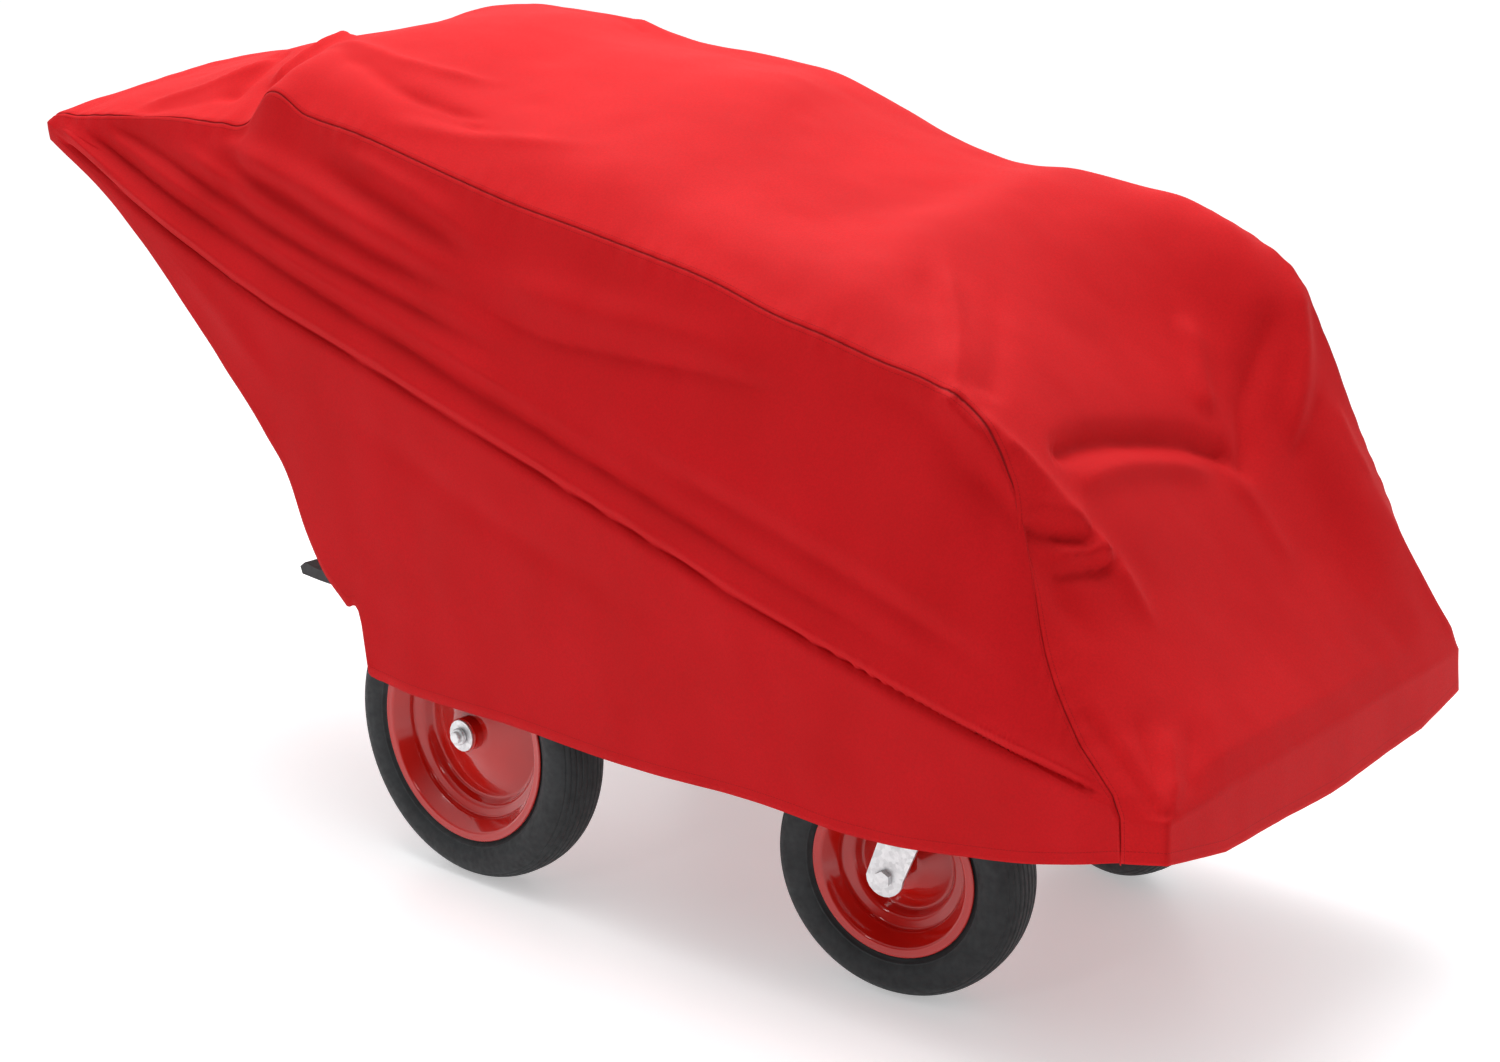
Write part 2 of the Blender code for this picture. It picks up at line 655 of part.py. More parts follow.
def arm(side, sign, shaft):
    """A plate on the shaft that reaches forward to a shoe on the tyre's upper rear tread."""
    low, high = (SHOE_ARM_Y - 0.003, SHOE_ARM_Y + 0.003)
    to_wheel = Vector((AXLE_X - BRAKE_X, 0.0, REAR_R - BRAKE_Z))
    away = Vector((-cos(SHOE_ANGLE), 0.0, sin(SHOE_ANGLE)))
    along_tread = Vector((sin(SHOE_ANGLE), 0.0, cos(SHOE_ANGLE)))
    inner, outer = REAR_R - 0.01, REAR_R + 0.020
    corners = [to_wheel + away * r + along_tread * d
               for r, d in ((inner, -0.016), (outer, -0.014), (outer, 0.014), (inner, 0.016))]
    shoe_outline = [(c.x, c.z) for c in corners]
    tail = to_wheel + away * (REAR_R + 0.012)
    arm_outline = [(-0.013, 0.010), (-0.013, -0.010), (0.0, -0.016), (0.013, -0.010),
                   (tail.x + 0.010, tail.z - 0.010), (tail.x + 0.010, tail.z + 0.010),
                   (tail.x - 0.010, tail.z + 0.010), (0.0, 0.016)]
    ends = sorted((sign * low, sign * high))
    made = plate(f"brake_shoe_{side}", "pad", arm_outline, *ends, shaft)
    span = sorted((sign * (SHOE_ARM_Y - 0.001), sign * (REAR_WHEEL_Y + 0.030)))
    block = plate(f"shoe_block_{side}", None, shoe_outline, *span, shaft, CUTTERS)
    y = sign * REAR_WHEEL_Y
    face = rod(f"shoe_face_{side}", None, REAR_R + SHOE_CLEARANCE,
               to_wheel + Vector((0, y - 0.08, 0)), to_wheel + Vector((0, y + 0.08, 0)),
               shaft, 96, collection=CUTTERS)
    bore = rod(f"shoe_bore_{side}", None, BRAKE_SHAFT_R + GAP, (0, y - 0.09, 0), (0, y + 0.09, 0),
               shaft, collection=CUTTERS)
    boolean(block, face, "DIFFERENCE")
    boolean(made, block, "UNION")
    boolean(made, bore, "DIFFERENCE")


def pedal(shaft):
    """A flat bar that runs aft from the shaft to a rubber-dipped foot pad."""
    y = -0.200
    outline = [(0.014, -0.010), (0.014, 0.010), (-0.020, 0.012), (-0.185, 0.012),
               (-0.215, 0.018), (-0.226, 0.010), (-0.222, -0.001), (-0.185, -0.004),
               (-0.020, -0.012)]
    made = plate("brake_pedal", "pad", outline, y - 0.013, y + 0.013, shaft)
    bore = rod("pedal_bore", None, BRAKE_SHAFT_R + GAP, (0, y - 0.03, 0), (0, y + 0.03, 0),
               shaft, collection=CUTTERS)
    boolean(made, bore, "DIFFERENCE")


# ---------------------------------------------------------------- storage cover
# The top panel's rows, from behind the handle forward: x, half width, then the height at
# seven points from the right seam over the crown to the left seam. The cover hangs a
# little askew: its right seam has slid down the side, its left seam stays near the top edge.
ACROSS = (0.0, 0.07, 0.25, 0.5, 0.75, 0.93, 1.0)
TOP_ROWS = (
    (-0.945, 0.352, 0.963, 0.975, 0.998, 1.022, 1.018, 0.990, 0.966),
    (-0.885, 0.348, 0.969, 0.984, 1.008, 1.034, 1.030, 1.000, 0.975),
    (-0.785, 0.338, 0.976, 0.992, 1.026, 1.048, 1.042, 1.015, 0.988),
    (-0.685, 0.328, 0.980, 1.000, 1.052, 1.060, 1.056, 1.030, 1.010),
    (-0.605, 0.316, 0.976, 1.002, 1.068, 1.070, 1.084, 1.066, 1.038),
    (-0.560, 0.308, 0.978, 1.008, 1.073, 1.082, 1.104, 1.082, 1.048),
    (-0.520, 0.302, 1.020, 1.045, 1.080, 1.096, 1.114, 1.092, 1.054),
    (-0.445, 0.300, 0.997, 1.040, 1.085, 1.110, 1.116, 1.093, 1.058),
    (-0.345, 0.300, 0.980, 1.022, 1.070, 1.108, 1.107, 1.086, 1.050),
    (-0.205, 0.300, 0.948, 0.988, 1.035, 1.080, 1.075, 1.060, 1.026),
    (-0.065, 0.300, 0.916, 0.960, 1.012, 1.062, 1.062, 1.046, 1.008),
    (0.055, 0.300, 0.895, 0.940, 0.995, 1.045, 1.047, 1.026, 0.986),
    (0.155, 0.300, 0.877, 0.915, 0.965, 1.006, 1.012, 0.990, 0.950),
    (0.275, 0.300, 0.853, 0.888, 0.925, 0.958, 0.970, 0.945, 0.911),
    (0.375, 0.300, 0.824, 0.862, 0.903, 0.935, 0.950, 0.933, 0.903),
    (0.445, 0.300, 0.810, 0.852, 0.896, 0.925, 0.948, 0.934, 0.908),
    (0.515, 0.300, 0.793, 0.825, 0.862, 0.889, 0.919, 0.926, 0.912),
    (0.595, 0.299, 0.776, 0.795, 0.812, 0.820, 0.860, 0.912, 0.900),
    (0.655, 0.296, 0.745, 0.755, 0.757, 0.758, 0.795, 0.884, 0.875),
)
# The front panel's rows from its top edge down to the hem: the same seven points as x, y, z.
FRONT_ROWS = (
    ((0.705, -0.302, 0.680), (0.707, -0.260, 0.690), (0.705, -0.160, 0.700), (0.712, 0.0, 0.694),
     (0.727, 0.150, 0.712), (0.720, 0.245, 0.815), (0.717, 0.292, 0.838)),
    ((0.737, -0.312, 0.600), (0.750, -0.270, 0.610), (0.760, -0.170, 0.625), (0.763, 0.0, 0.622),
     (0.775, 0.160, 0.640), (0.765, 0.250, 0.735), (0.760, 0.300, 0.762)),
    ((0.775, -0.330, 0.500), (0.800, -0.285, 0.512), (0.815, -0.180, 0.530), (0.825, 0.0, 0.532),
     (0.837, 0.170, 0.548), (0.825, 0.262, 0.630), (0.815, 0.312, 0.638)),
    ((0.830, -0.348, 0.425), (0.868, -0.310, 0.437), (0.883, -0.190, 0.452), (0.890, 0.0, 0.456),
     (0.894, 0.180, 0.466), (0.885, 0.280, 0.525), (0.862, 0.328, 0.522)),
    ((0.880, -0.360, 0.388), (0.928, -0.335, 0.398), (0.934, -0.220, 0.404), (0.936, 0.0, 0.405),
     (0.934, 0.220, 0.408), (0.921, 0.308, 0.438), (0.886, 0.346, 0.440)),
    ((0.892, -0.363, 0.370), (0.944, -0.352, 0.384), (0.947, -0.240, 0.387), (0.948, 0.0, 0.387),
     (0.946, 0.240, 0.388), (0.937, 0.338, 0.388), (0.892, 0.358, 0.385)),
    ((0.896, -0.363, 0.312), (0.946, -0.354, 0.320), (0.952, -0.240, 0.300), (0.954, 0.0, 0.294),
     (0.951, 0.240, 0.304), (0.941, 0.341, 0.320), (0.896, 0.361, 0.318)),
)
REAR_HEM = ((-0.004, -0.045), (-0.009, -0.018))   # x and z of the wrap behind the grip


def top_row(x, half_width, *heights):
    return [Vector((x, half_width * (2 * t - 1), z)) for t, z in zip(ACROSS, heights)]


def cover_rows():
    """The top and front panel's grid, from the rear hem to the front hem."""
    rows = [top_row(*row) for row in TOP_ROWS]
    wrap = [[p + Vector((x, 0.0, z)) for p in rows[0]] for x, z in REAR_HEM]
    return wrap + rows + [[Vector(p) for p in row] for row in FRONT_ROWS]


def cover_top():
    """Top panel from the hem behind the handle, over the seats and down the front to the hem."""
    sheet("cover_top_panel", "cover_top", cover_rows(), COVER_SHEET, 1)


RIDGE = [(-0.886, 0.928), (-0.719, 0.843), (-0.527, 0.766), (-0.210, 0.671), (0.144, 0.565),
         (0.458, 0.472), (0.737, 0.406), (0.896, 0.368)]
LOWER_EDGE = [(-0.945, 0.932), (-0.884, 0.898), (-0.793, 0.845), (-0.718, 0.786), (-0.614, 0.691),
              (-0.490, 0.567), (-0.437, 0.498), (-0.410, 0.439), (-0.382, 0.394), (-0.334, 0.347),
              (-0.290, 0.310), (-0.278, 0.275), (-0.262, 0.250), (-0.220, 0.247), (-0.040, 0.248),
              (0.200, 0.243), (0.400, 0.250), (0.550, 0.246), (0.688, 0.262), (0.821, 0.289),
              (0.896, 0.312)]
EXTRA_STATIONS = (-0.835, -0.726, -0.645, -0.490, -0.416, -0.310, -0.260)


def side_column(sign, top, back=0.0):
    """One upright line of a side panel, from its lower edge up to the seam point top."""
    x, seam_y, seam_z = top
    x -= back
    low = along(LOWER_EDGE, x)[0]
    ridge = min(max(along(RIDGE, x)[0], low + 0.012), seam_z - 0.02)
    high = seam_z - SEAM_GAP
    wide = sign * (COVER_HALF_WIDTH if -0.80 < x < 0.86 else COVER_HALF_WIDTH - 0.004)
    top_y = seam_y + sign * 0.002
    column = [(x, wide - sign * 0.002, low), (x, wide - sign * 0.001, (low + ridge) / 2),
              (x, wide, ridge)]
    for share in (0.35, 0.7, 1.0):
        column.append((x, wide + (top_y - wide) * share ** 1.15, ridge + (high - ridge) * share))
    return column


def cover_side(side, sign):
    """A side panel between its seam and its lower edge, with columns at the seam's own points."""
    edge = 0 if sign < 0 else -1
    rows = cover_rows()[len(REAR_HEM):]
    seam = [row[edge] for row in rows[:len(TOP_ROWS)]]
    rear = Vector(seam[0].lerp(seam[1], 0.12))
    points = [rear] + seam[1:]
    for x in EXTRA_STATIONS:
        after = next(i for i, p in enumerate(points) if p.x > x)
        share = (x - points[after - 1].x) / (points[after].x - points[after - 1].x)
        points.insert(after, points[after - 1].lerp(points[after], share))
    columns = [side_column(sign, point) for point in points]
    columns += [side_column(sign, row[edge], SEAM_BACK) for row in rows[len(TOP_ROWS):-1]]
    sheet(f"cover_side_{side}", "cover_side", columns, COVER_SHEET, -sign)


# ---------------------------------------------------------------- assembly
rear_wheels()
casters()
chassis()
tub()
for seat_name in SEAT_ROWS:
    seat_row(seat_name)
    for side_name, side_sign in SIDES:
        harness(seat_name, side_name, side_sign)
grab_bar()
push_handle()
brake()
cover_top()
for side_name, side_sign in SIDES:
    cover_side(side_name, side_sign)
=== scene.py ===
"""Looks for the six-seat push buggy parked under its fitted storage cover.

Metres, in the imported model's frame: +X forward, +Y to the buggy's left, +Z up.
"""

import json
from math import cos, pi, radians, sin

import bmesh
import bpy
import numpy as np
from mathutils import Matrix, Vector


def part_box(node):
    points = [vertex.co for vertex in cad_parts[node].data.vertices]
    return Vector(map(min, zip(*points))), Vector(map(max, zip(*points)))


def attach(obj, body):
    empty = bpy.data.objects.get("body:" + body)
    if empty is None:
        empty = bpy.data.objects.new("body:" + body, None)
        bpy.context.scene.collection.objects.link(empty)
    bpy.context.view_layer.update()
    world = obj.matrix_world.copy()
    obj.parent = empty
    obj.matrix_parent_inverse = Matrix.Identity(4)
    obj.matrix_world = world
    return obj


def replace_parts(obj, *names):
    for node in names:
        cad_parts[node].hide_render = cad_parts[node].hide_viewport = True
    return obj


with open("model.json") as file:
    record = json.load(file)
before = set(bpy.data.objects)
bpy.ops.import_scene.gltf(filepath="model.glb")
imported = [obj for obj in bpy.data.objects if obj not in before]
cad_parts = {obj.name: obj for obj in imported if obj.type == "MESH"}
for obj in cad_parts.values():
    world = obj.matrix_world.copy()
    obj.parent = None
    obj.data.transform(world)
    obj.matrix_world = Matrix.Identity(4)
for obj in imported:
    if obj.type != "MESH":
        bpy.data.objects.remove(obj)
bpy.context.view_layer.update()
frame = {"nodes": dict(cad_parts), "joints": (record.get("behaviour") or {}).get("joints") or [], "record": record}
NODES = frame["nodes"]
SIDES = (("left", 1), ("right", -1))


# ---------------------------------------------------------------- node trees
class Shader:
    """A material's node tree, with short ways to add and join nodes."""

    def __init__(self, name, color, roughness, metallic=0.0, **uniform):
        self.material = bpy.data.materials.new(name)
        self.material.use_nodes = True
        self.tree = self.material.node_tree
        self.surface = self.tree.nodes["Principled BSDF"]
        self.set(**{"Base Color": (*color, 1.0), "Roughness": roughness, "Metallic": metallic})
        self.set(**{key.replace("_", " "): value for key, value in uniform.items()})
        self.heights = None

    def set(self, **values):
        for name, value in values.items():
            self.surface.inputs[name].default_value = value

    def node(self, kind, inputs=None, **settings):
        made = self.tree.nodes.new(kind)
        for key, value in settings.items():
            setattr(made, key, value)
        for key, value in (inputs or {}).items():
            self.feed(made.inputs[key], value)
        return made

    def feed(self, socket, value):
        if isinstance(value, bpy.types.NodeSocket):
            self.tree.links.new(value, socket)
        else:
            socket.default_value = value

    def place(self):
        return self.node("ShaderNodeTexCoord").outputs["Object"]

    def noise(self, scale, detail=2.0, roughness=0.5):
        return self.node("ShaderNodeTexNoise", {"Vector": self.place(), "Scale": scale, "Detail": detail,
                                                "Roughness": roughness}).outputs["Fac"]

    def math(self, operation, first, second=0.0):
        return self.node("ShaderNodeMath", {0: first, 1: second}, operation=operation).outputs[0]

    def ramp(self, factor, low, high, start=0.3, end=0.7):
        made = self.node("ShaderNodeValToRGB", {"Fac": factor})
        made.color_ramp.elements[0].position = start
        made.color_ramp.elements[1].position = end
        made.color_ramp.elements[0].color = self.rgba(low)
        made.color_ramp.elements[1].color = self.rgba(high)
        return made.outputs["Color"]

    @staticmethod
    def rgba(value):
        return (*value, 1.0) if hasattr(value, "__len__") else (value, value, value, 1.0)

    def color(self, socket):
        self.feed(self.surface.inputs["Base Color"], socket)

    def roughness(self, socket):
        self.feed(self.surface.inputs["Roughness"], socket)

    def bump(self, height, distance, strength):
        """Adds a bump of height times distance metres on top of those already there."""
        made = self.node("ShaderNodeBump", {"Height": height, "Distance": distance,
                                            "Strength": strength})
        if self.heights:
            self.feed(made.inputs["Normal"], self.heights)
        self.heights = made.outputs["Normal"]
        self.feed(self.surface.inputs["Normal"], self.heights)

    def uv_lengths(self, name):
        """The two coordinates of a UV map that holds lengths."""
        where = self.node("ShaderNodeUVMap", uv_map=name).outputs["UV"]
        parts = self.node("ShaderNodeSeparateXYZ", {"Vector": where})
        return parts.outputs["X"], parts.outputs["Y"]

    def stitch_row(self, gap, run, place, pitch=0.0042):
        """A mask of lock stitches in a row that lies place metres from an edge."""
        across = self.math("LESS_THAN", self.math("ABSOLUTE", self.math("SUBTRACT", gap, place)), 0.00045)
        step = self.math("FRACT", self.math("DIVIDE", run, pitch))
        return self.math("MULTIPLY", across, self.math("LESS_THAN", step, 0.72))


def mix_colors(shader, factor, first, second):
    made = shader.node("ShaderNodeMix", data_type="RGBA")
    for socket, value in ((made.inputs[0], factor), (made.inputs[6], first), (made.inputs[7], second)):
        shader.feed(socket, shader.rgba(value) if isinstance(value, tuple) else value)
    return made.outputs[2]


# ---------------------------------------------------------------- materials
WEAVE_PITCH = 0.0011             # metres from thread to thread


def woven_fabric(name, color, shadow):
    """Proofed polyester: a plain weave laid along the cloth, with slight dye variation and painted shade along the
    seams.
    """
    s = Shader(name, color, 0.72, Sheen_Weight=0.03, Sheen_Roughness=0.45,
               Sheen_Tint=(1.0, 0.45, 0.42, 1.0), Specular_IOR_Level=0.13)
    threads = s.node("ShaderNodeMapping", {
        "Vector": s.node("ShaderNodeUVMap", uv_map="cloth").outputs["UV"],
        "Scale": (1 / WEAVE_PITCH, 1 / WEAVE_PITCH, 1)}).outputs[0]
    warp = s.node("ShaderNodeTexWave", {"Vector": threads, "Scale": 1.0, "Distortion": 0.25},
                  wave_type="BANDS", bands_direction="X").outputs["Fac"]
    weft = s.node("ShaderNodeTexWave", {"Vector": threads, "Scale": 1.0, "Distortion": 0.25},
                  wave_type="BANDS", bands_direction="Y").outputs["Fac"]
    weave = s.math("MULTIPLY", warp, weft)
    slub = s.noise(420.0, 3.0)
    clouds = s.noise(9.0, 3.0)
    shade = s.math("ADD", s.math("MULTIPLY", slub, 0.45), s.math("MULTIPLY", clouds, 0.55))
    cloth = s.ramp(shade, shadow, color, 0.32, 0.62)
    grain = s.noise(360.0, 3.0, roughness=0.75)
    cloth = mix_colors(s, s.ramp(grain, 0.0, 0.32, 0.38, 0.66), cloth, tuple(c * 0.60 for c in color))
    # UV map "seam" holds metres from the seam and along it, "hem" metres from the hem and along it.
    seam_gap, seam_run = s.uv_lengths("seam")
    hem_gap, hem_run = s.uv_lengths("hem")
    seam_groove_and_shade = s.node("ShaderNodeMapRange", {"Value": seam_gap, "From Min": 0.0006, "From Max": 0.0021,
                                           "To Min": 1.0, "To Max": 0.0}, clamp=True).outputs["Result"]
    stitches = s.math("MAXIMUM", s.stitch_row(seam_gap, seam_run, 0.0065),
                      s.stitch_row(hem_gap, hem_run, 0.0140))
    # The seam's groove is also darkened in colour here: painted shade along the seam.
    cloth = mix_colors(s, s.math("MULTIPLY", seam_groove_and_shade, 0.75), cloth, tuple(c * 0.25 for c in color))
    s.color(mix_colors(s, s.math("MULTIPLY", stitches, 0.55), cloth, tuple(c * 0.42 for c in color)))
    s.roughness(s.ramp(slub, 0.66, 0.80))
    s.bump(stitches, 0.0004, 0.5)
    s.bump(s.math("SUBTRACT", 1.0, seam_groove_and_shade), 0.0008, 0.6)
    s.bump(weave, 0.00012, 0.35)
    s.bump(s.noise(95.0, 3.0, roughness=0.6), 0.0006, 0.16)
    return s.material


def rubber(name, color, roughness=0.62):
    """Moulded rubber with a faint bloom and the mould's fine grain."""
    s = Shader(name, color, roughness, Specular_IOR_Level=0.42)
    bloom = s.noise(38.0, 4.0)
    s.color(s.ramp(bloom, tuple(c * 0.78 for c in color), tuple(c * 1.3 for c in color)))
    s.roughness(s.ramp(s.noise(130.0, 3.0), roughness - 0.08, roughness + 0.12))
    s.bump(s.noise(900.0, 2.0), 0.0002, 0.25)
    return s.material


def gloss_enamel(name, color, roughness=0.05):
    """Thick stoved enamel: clear gloss over a colour, with slight orange peel."""
    s = Shader(name, color, roughness + 0.12, Coat_Weight=1.0, Coat_Roughness=roughness,
               Coat_IOR=1.45, Specular_IOR_Level=0.2)
    s.color(mix_colors(s, s.ramp(s.noise(14.0, 3.0), 0.0, 1.0), tuple(c * 0.9 for c in color), color))
    s.roughness(s.ramp(s.noise(60.0, 2.0), roughness + 0.08, roughness + 0.18))
    s.bump(s.noise(240.0, 2.0), 0.00015, 0.12)
    return s.material


def zinc(name):
    """Bright zinc plate: blotchy spangle in tone and gloss."""
    s = Shader(name, (0.72, 0.73, 0.74), 0.42, 0.75)
    cells = s.node("ShaderNodeTexVoronoi", {"Vector": s.place(), "Scale": 210.0},
                   feature="F1").outputs["Color"]
    spangle = s.node("ShaderNodeSeparateColor", {"Color": cells}).outputs[0]
    mottle = s.math("ADD", s.math("MULTIPLY", spangle, 0.45),
                    s.math("MULTIPLY", s.noise(120.0, 5.0, roughness=0.65), 0.55))
    s.color(s.ramp(mottle, (0.66, 0.67, 0.68), (0.80, 0.81, 0.82), 0.25, 0.75))
    s.roughness(s.ramp(mottle, 0.50, 0.34))
    s.bump(s.noise(480.0, 3.0), 0.0001, 0.3)
    return s.material


def satin_enamel(name, color):
    """Powder coat: satin, with the coat's fine pebble."""
    s = Shader(name, color, 0.38, Specular_IOR_Level=0.5)
    s.roughness(s.ramp(s.noise(40.0, 3.0), 0.30, 0.46))
    s.bump(s.noise(520.0, 2.0), 0.0002, 0.3)
    return s.material


def moulded_plastic(name, color, grain=320.0):
    """Rotationally moulded plastic with a leathery stipple."""
    s = Shader(name, color, 0.5, Specular_IOR_Level=0.4)
    s.color(s.ramp(s.noise(7.0, 3.0), tuple(c * 0.9 for c in color), tuple(min(c * 1.08, 1) for c in color)))
    s.roughness(s.ramp(s.noise(90.0, 3.0), 0.42, 0.58))
    cells = s.node("ShaderNodeTexVoronoi", {"Vector": s.place(), "Scale": grain},
                   feature="SMOOTH_F1").outputs["Distance"]
    s.bump(cells, 0.0005, 0.4)
    return s.material


def webbing_cloth(name, color):
    """Herringbone webbing."""
    s = Shader(name, color, 0.75, Sheen_Weight=0.2)
    bands = s.node("ShaderNodeTexWave", {"Vector": s.place(), "Scale": 160.0, "Distortion": 1.0},
                   wave_type="BANDS", bands_direction="DIAGONAL").outputs["Fac"]
    s.color(s.ramp(bands, tuple(c * 0.6 for c in color), tuple(c * 1.5 for c in color)))
    s.bump(bands, 0.0004, 0.5)
    return s.material


def foam(name, color):
    """Closed-cell foam with open pores, their hollows darkened in colour as painted shade."""
    s = Shader(name, color, 0.85, Specular_IOR_Level=0.2)
    pores_and_shade = s.node("ShaderNodeTexVoronoi", {"Vector": s.place(), "Scale": 900.0},
                   feature="F1").outputs["Distance"]
    # The pores are darker at their centres: painted shade in the hollows.
    s.color(s.ramp(pores_and_shade, tuple(c * 0.5 for c in color), tuple(c * 1.6 for c in color), 0.1, 0.6))
    s.bump(pores_and_shade, 0.0004, 0.6)
    return s.material


MATERIALS = {
    # Both fabrics are the same red cloth: the top's copy is lighter and paler as painted light, the sides' copy
    # darker as painted shade.
    "cover_top_fabric": woven_fabric("cover_top_fabric", (0.66, 0.008, 0.011), (0.58, 0.005, 0.008)),
    "cover_side_fabric": woven_fabric("cover_side_fabric", (0.60, 0.005, 0.009), (0.53, 0.004, 0.006)),
    "tyre_rubber": rubber("tyre_rubber", (0.016, 0.0185, 0.020)),
    "rim_enamel": gloss_enamel("rim_enamel", (0.56, 0.010, 0.006)),
    "zinc_plate": zinc("zinc_plate"),
    "chassis_enamel": satin_enamel("chassis_enamel", (0.022, 0.022, 0.024)),
    "tub_plastic": moulded_plastic("tub_plastic", (0.50, 0.02, 0.02)),
    "seat_plastic": moulded_plastic("seat_plastic", (0.28, 0.29, 0.31)),
    "harness_webbing": webbing_cloth("harness_webbing", (0.03, 0.03, 0.035)),
    "grip_foam": foam("grip_foam", (0.022, 0.022, 0.022)),
    "brake_rubber": rubber("brake_rubber", (0.05, 0.05, 0.052), 0.7),
}
SLOT_OF = {part["node"]: part["material_slot"] for part in frame["record"]["subparts"]}


def finish_nodes():
    """Gives every carried-over node the material of its slot."""
    for name, node in NODES.items():
        node.data.materials.clear()
        node.data.materials.append(MATERIALS[SLOT_OF[name]])


# ---------------------------------------------------------------- mesh helpers
def mesh_piece(name, verts, faces, material, body, sharp=None):
    mesh = bpy.data.meshes.new(name)
    mesh.from_pydata([tuple(v) for v in verts], [], [tuple(f) for f in faces])
    mesh.update()
    mesh.materials.append(material)
    made = bpy.data.objects.new(name, mesh)
    bpy.context.scene.collection.objects.link(made)
    mesh.shade_smooth()
    if sharp:
        mesh.set_sharp_from_angle(angle=radians(sharp))
    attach(made, body)
    return made


def revolved(profile, steps):
    """Vertices and faces of a closed (axial, radius) outline turned about +Y through the origin."""
    profile = np.asarray(profile, float)
    count = len(profile)
    angles = np.arange(steps) * 2 * pi / steps
    verts = np.empty((steps, count, 3))
    verts[:, :, 0] = np.cos(angles)[:, None] * profile[:, 1]
    verts[:, :, 1] = profile[:, 0]
    verts[:, :, 2] = np.sin(angles)[:, None] * profile[:, 1]
    faces = []
    for i in range(steps):
        j = (i + 1) % steps
        for k in range(count):
            m = (k + 1) % count
            faces.append((i * count + k, i * count + m, j * count + m, j * count + k))
    return verts.reshape(-1, 3), faces


def rounded(points, radius, steps=4):
    """The outline through points with its inner corners rounded off."""
    points = [np.asarray(p, float) for p in points]
    path = [points[0]]
    for before, corner, after in zip(points, points[1:], points[2:]):
        a, b = before - corner, after - corner
        la, lb = np.linalg.norm(a), np.linalg.norm(b)
        r = min(radius, la * 0.45, lb * 0.45)
        start, end = corner + a / la * r, corner + b / lb * r
        for i in range(steps + 1):
            t = i / steps
            path.append(start * (1 - t) ** 2 + corner * 2 * t * (1 - t) + end * t ** 2)
    path.append(points[-1])
    return path


def spline(nodes, values, at):
    """Smooth cubic through values (one row per node), read at the positions at."""
    nodes, values, at = np.asarray(nodes, float), np.asarray(values, float), np.asarray(at, float)
    step = np.diff(nodes)[:, None]
    chord = np.diff(values, axis=0) / step
    slope = np.empty_like(values)
    slope[1:-1] = (chord[:-1] * step[1:] + chord[1:] * step[:-1]) / (step[1:] + step[:-1])
    slope[0], slope[-1] = chord[0], chord[-1]
    i = np.clip(np.searchsorted(nodes, at, side="right") - 1, 0, len(nodes) - 2)
    h = step[i, 0][:, None]
    t = ((at - nodes[i])[:, None]) / h
    a, b = values[i], values[i + 1]
    return (a * (1 + 2 * t) * (1 - t) ** 2 + slope[i] * h * t * (1 - t) ** 2
            + b * t ** 2 * (3 - 2 * t) - slope[i + 1] * h * t ** 2 * (1 - t))


def ruled(nodes, values, at):
    """Straight lines through values (one row per node), read at the positions at."""
    return np.stack([np.interp(at, nodes, column) for column in np.asarray(values, float).T], 1)


def soft_step(x):
    x = np.clip(x, 0.0, 1.0)
    return x * x * (3 - 2 * x)


# ---------------------------------------------------------------- wheels
def wheel_frame(node):
    """A wheel node's centre, and the turn about Z that carries +Y onto its axle."""
    low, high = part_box(node)
    centre = (Vector(low) + Vector(high)) / 2
    turn = 0.0
    for joint in frame["joints"]:
        if node.startswith(joint["name"].replace("_wheel", "").replace("_spin", "")) and "axis" in joint:
            axis = Vector(joint["axis"])
            turn = -np.arctan2(axis.x, axis.y)
    return centre, turn


# Each end's tyre radius, rim flange radius and half the hub's length.
WHEEL_SIZES = {"rear": (0.2032, 0.1470, 0.0340), "front": (0.1651, 0.1091, 0.0445)}
TYRE_HALF = 0.043                # half the tyre's width
RIM_EDGE = 0.0365                # half the rim's width
SHEET = 0.0028                   # thickness of the rim's sheet
SHARP_ANGLE = 28                 # degrees between faces from which an edge stays sharp


def tyre_profile(radius, flange):
    """A flat-free tyre's section from bead to bead, with a ringed wall and a ribbed tread."""
    bead = flange - 0.0115 + SHEET + 0.0006
    middle = (radius + flange) / 2 - 0.003
    high, wide = radius - middle, TYRE_HALF
    section = []
    for i in range(181):
        a = radians(-130 + 260 * i / 180)
        c, s = cos(a), sin(a)
        lift = np.sign(c) * abs(c) ** 0.86
        axial = wide * np.sign(s) * abs(s) ** 0.80
        r = middle + high * lift
        section.append((axial, r))
    section = np.array(section)
    section = section[section[:, 1] > flange + 0.0015]
    across = np.abs(section[:, 0])
    on_tread = section[:, 1] > middle + high * 0.35
    ribs = np.zeros(len(section))
    for place, width, depth in ((0.0045, 0.0011, 0.0016), (0.0135, 0.0011, 0.0016), (0.0215, 0.0010, 0.0015),
                                (0.0285, 0.0009, 0.0013), (0.0345, 0.0009, 0.0012)):
        ribs += depth * np.exp(-((across - place) / width) ** 2)
    section[:, 1] -= np.where(on_tread, ribs, 0.0)
    wall_r = section[:, 1]
    wall = ~on_tread
    for place, width, height in ((flange + 0.0065, 0.0011, 0.0011), (radius - 0.0165, 0.0009, 0.0008)):
        section[:, 0] += np.sign(section[:, 0]) * wall * height * np.exp(-((wall_r - place) / width) ** 2)
    section[:, 0] = np.clip(section[:, 0], -TYRE_HALF, TYRE_HALF)
    foot = [(RIM_EDGE - 0.0042, bead), (RIM_EDGE - 0.0038, flange + 0.0005)]
    return [(-a, r) for a, r in foot] + [tuple(p) for p in section] + [(a, r) for a, r in reversed(foot)]


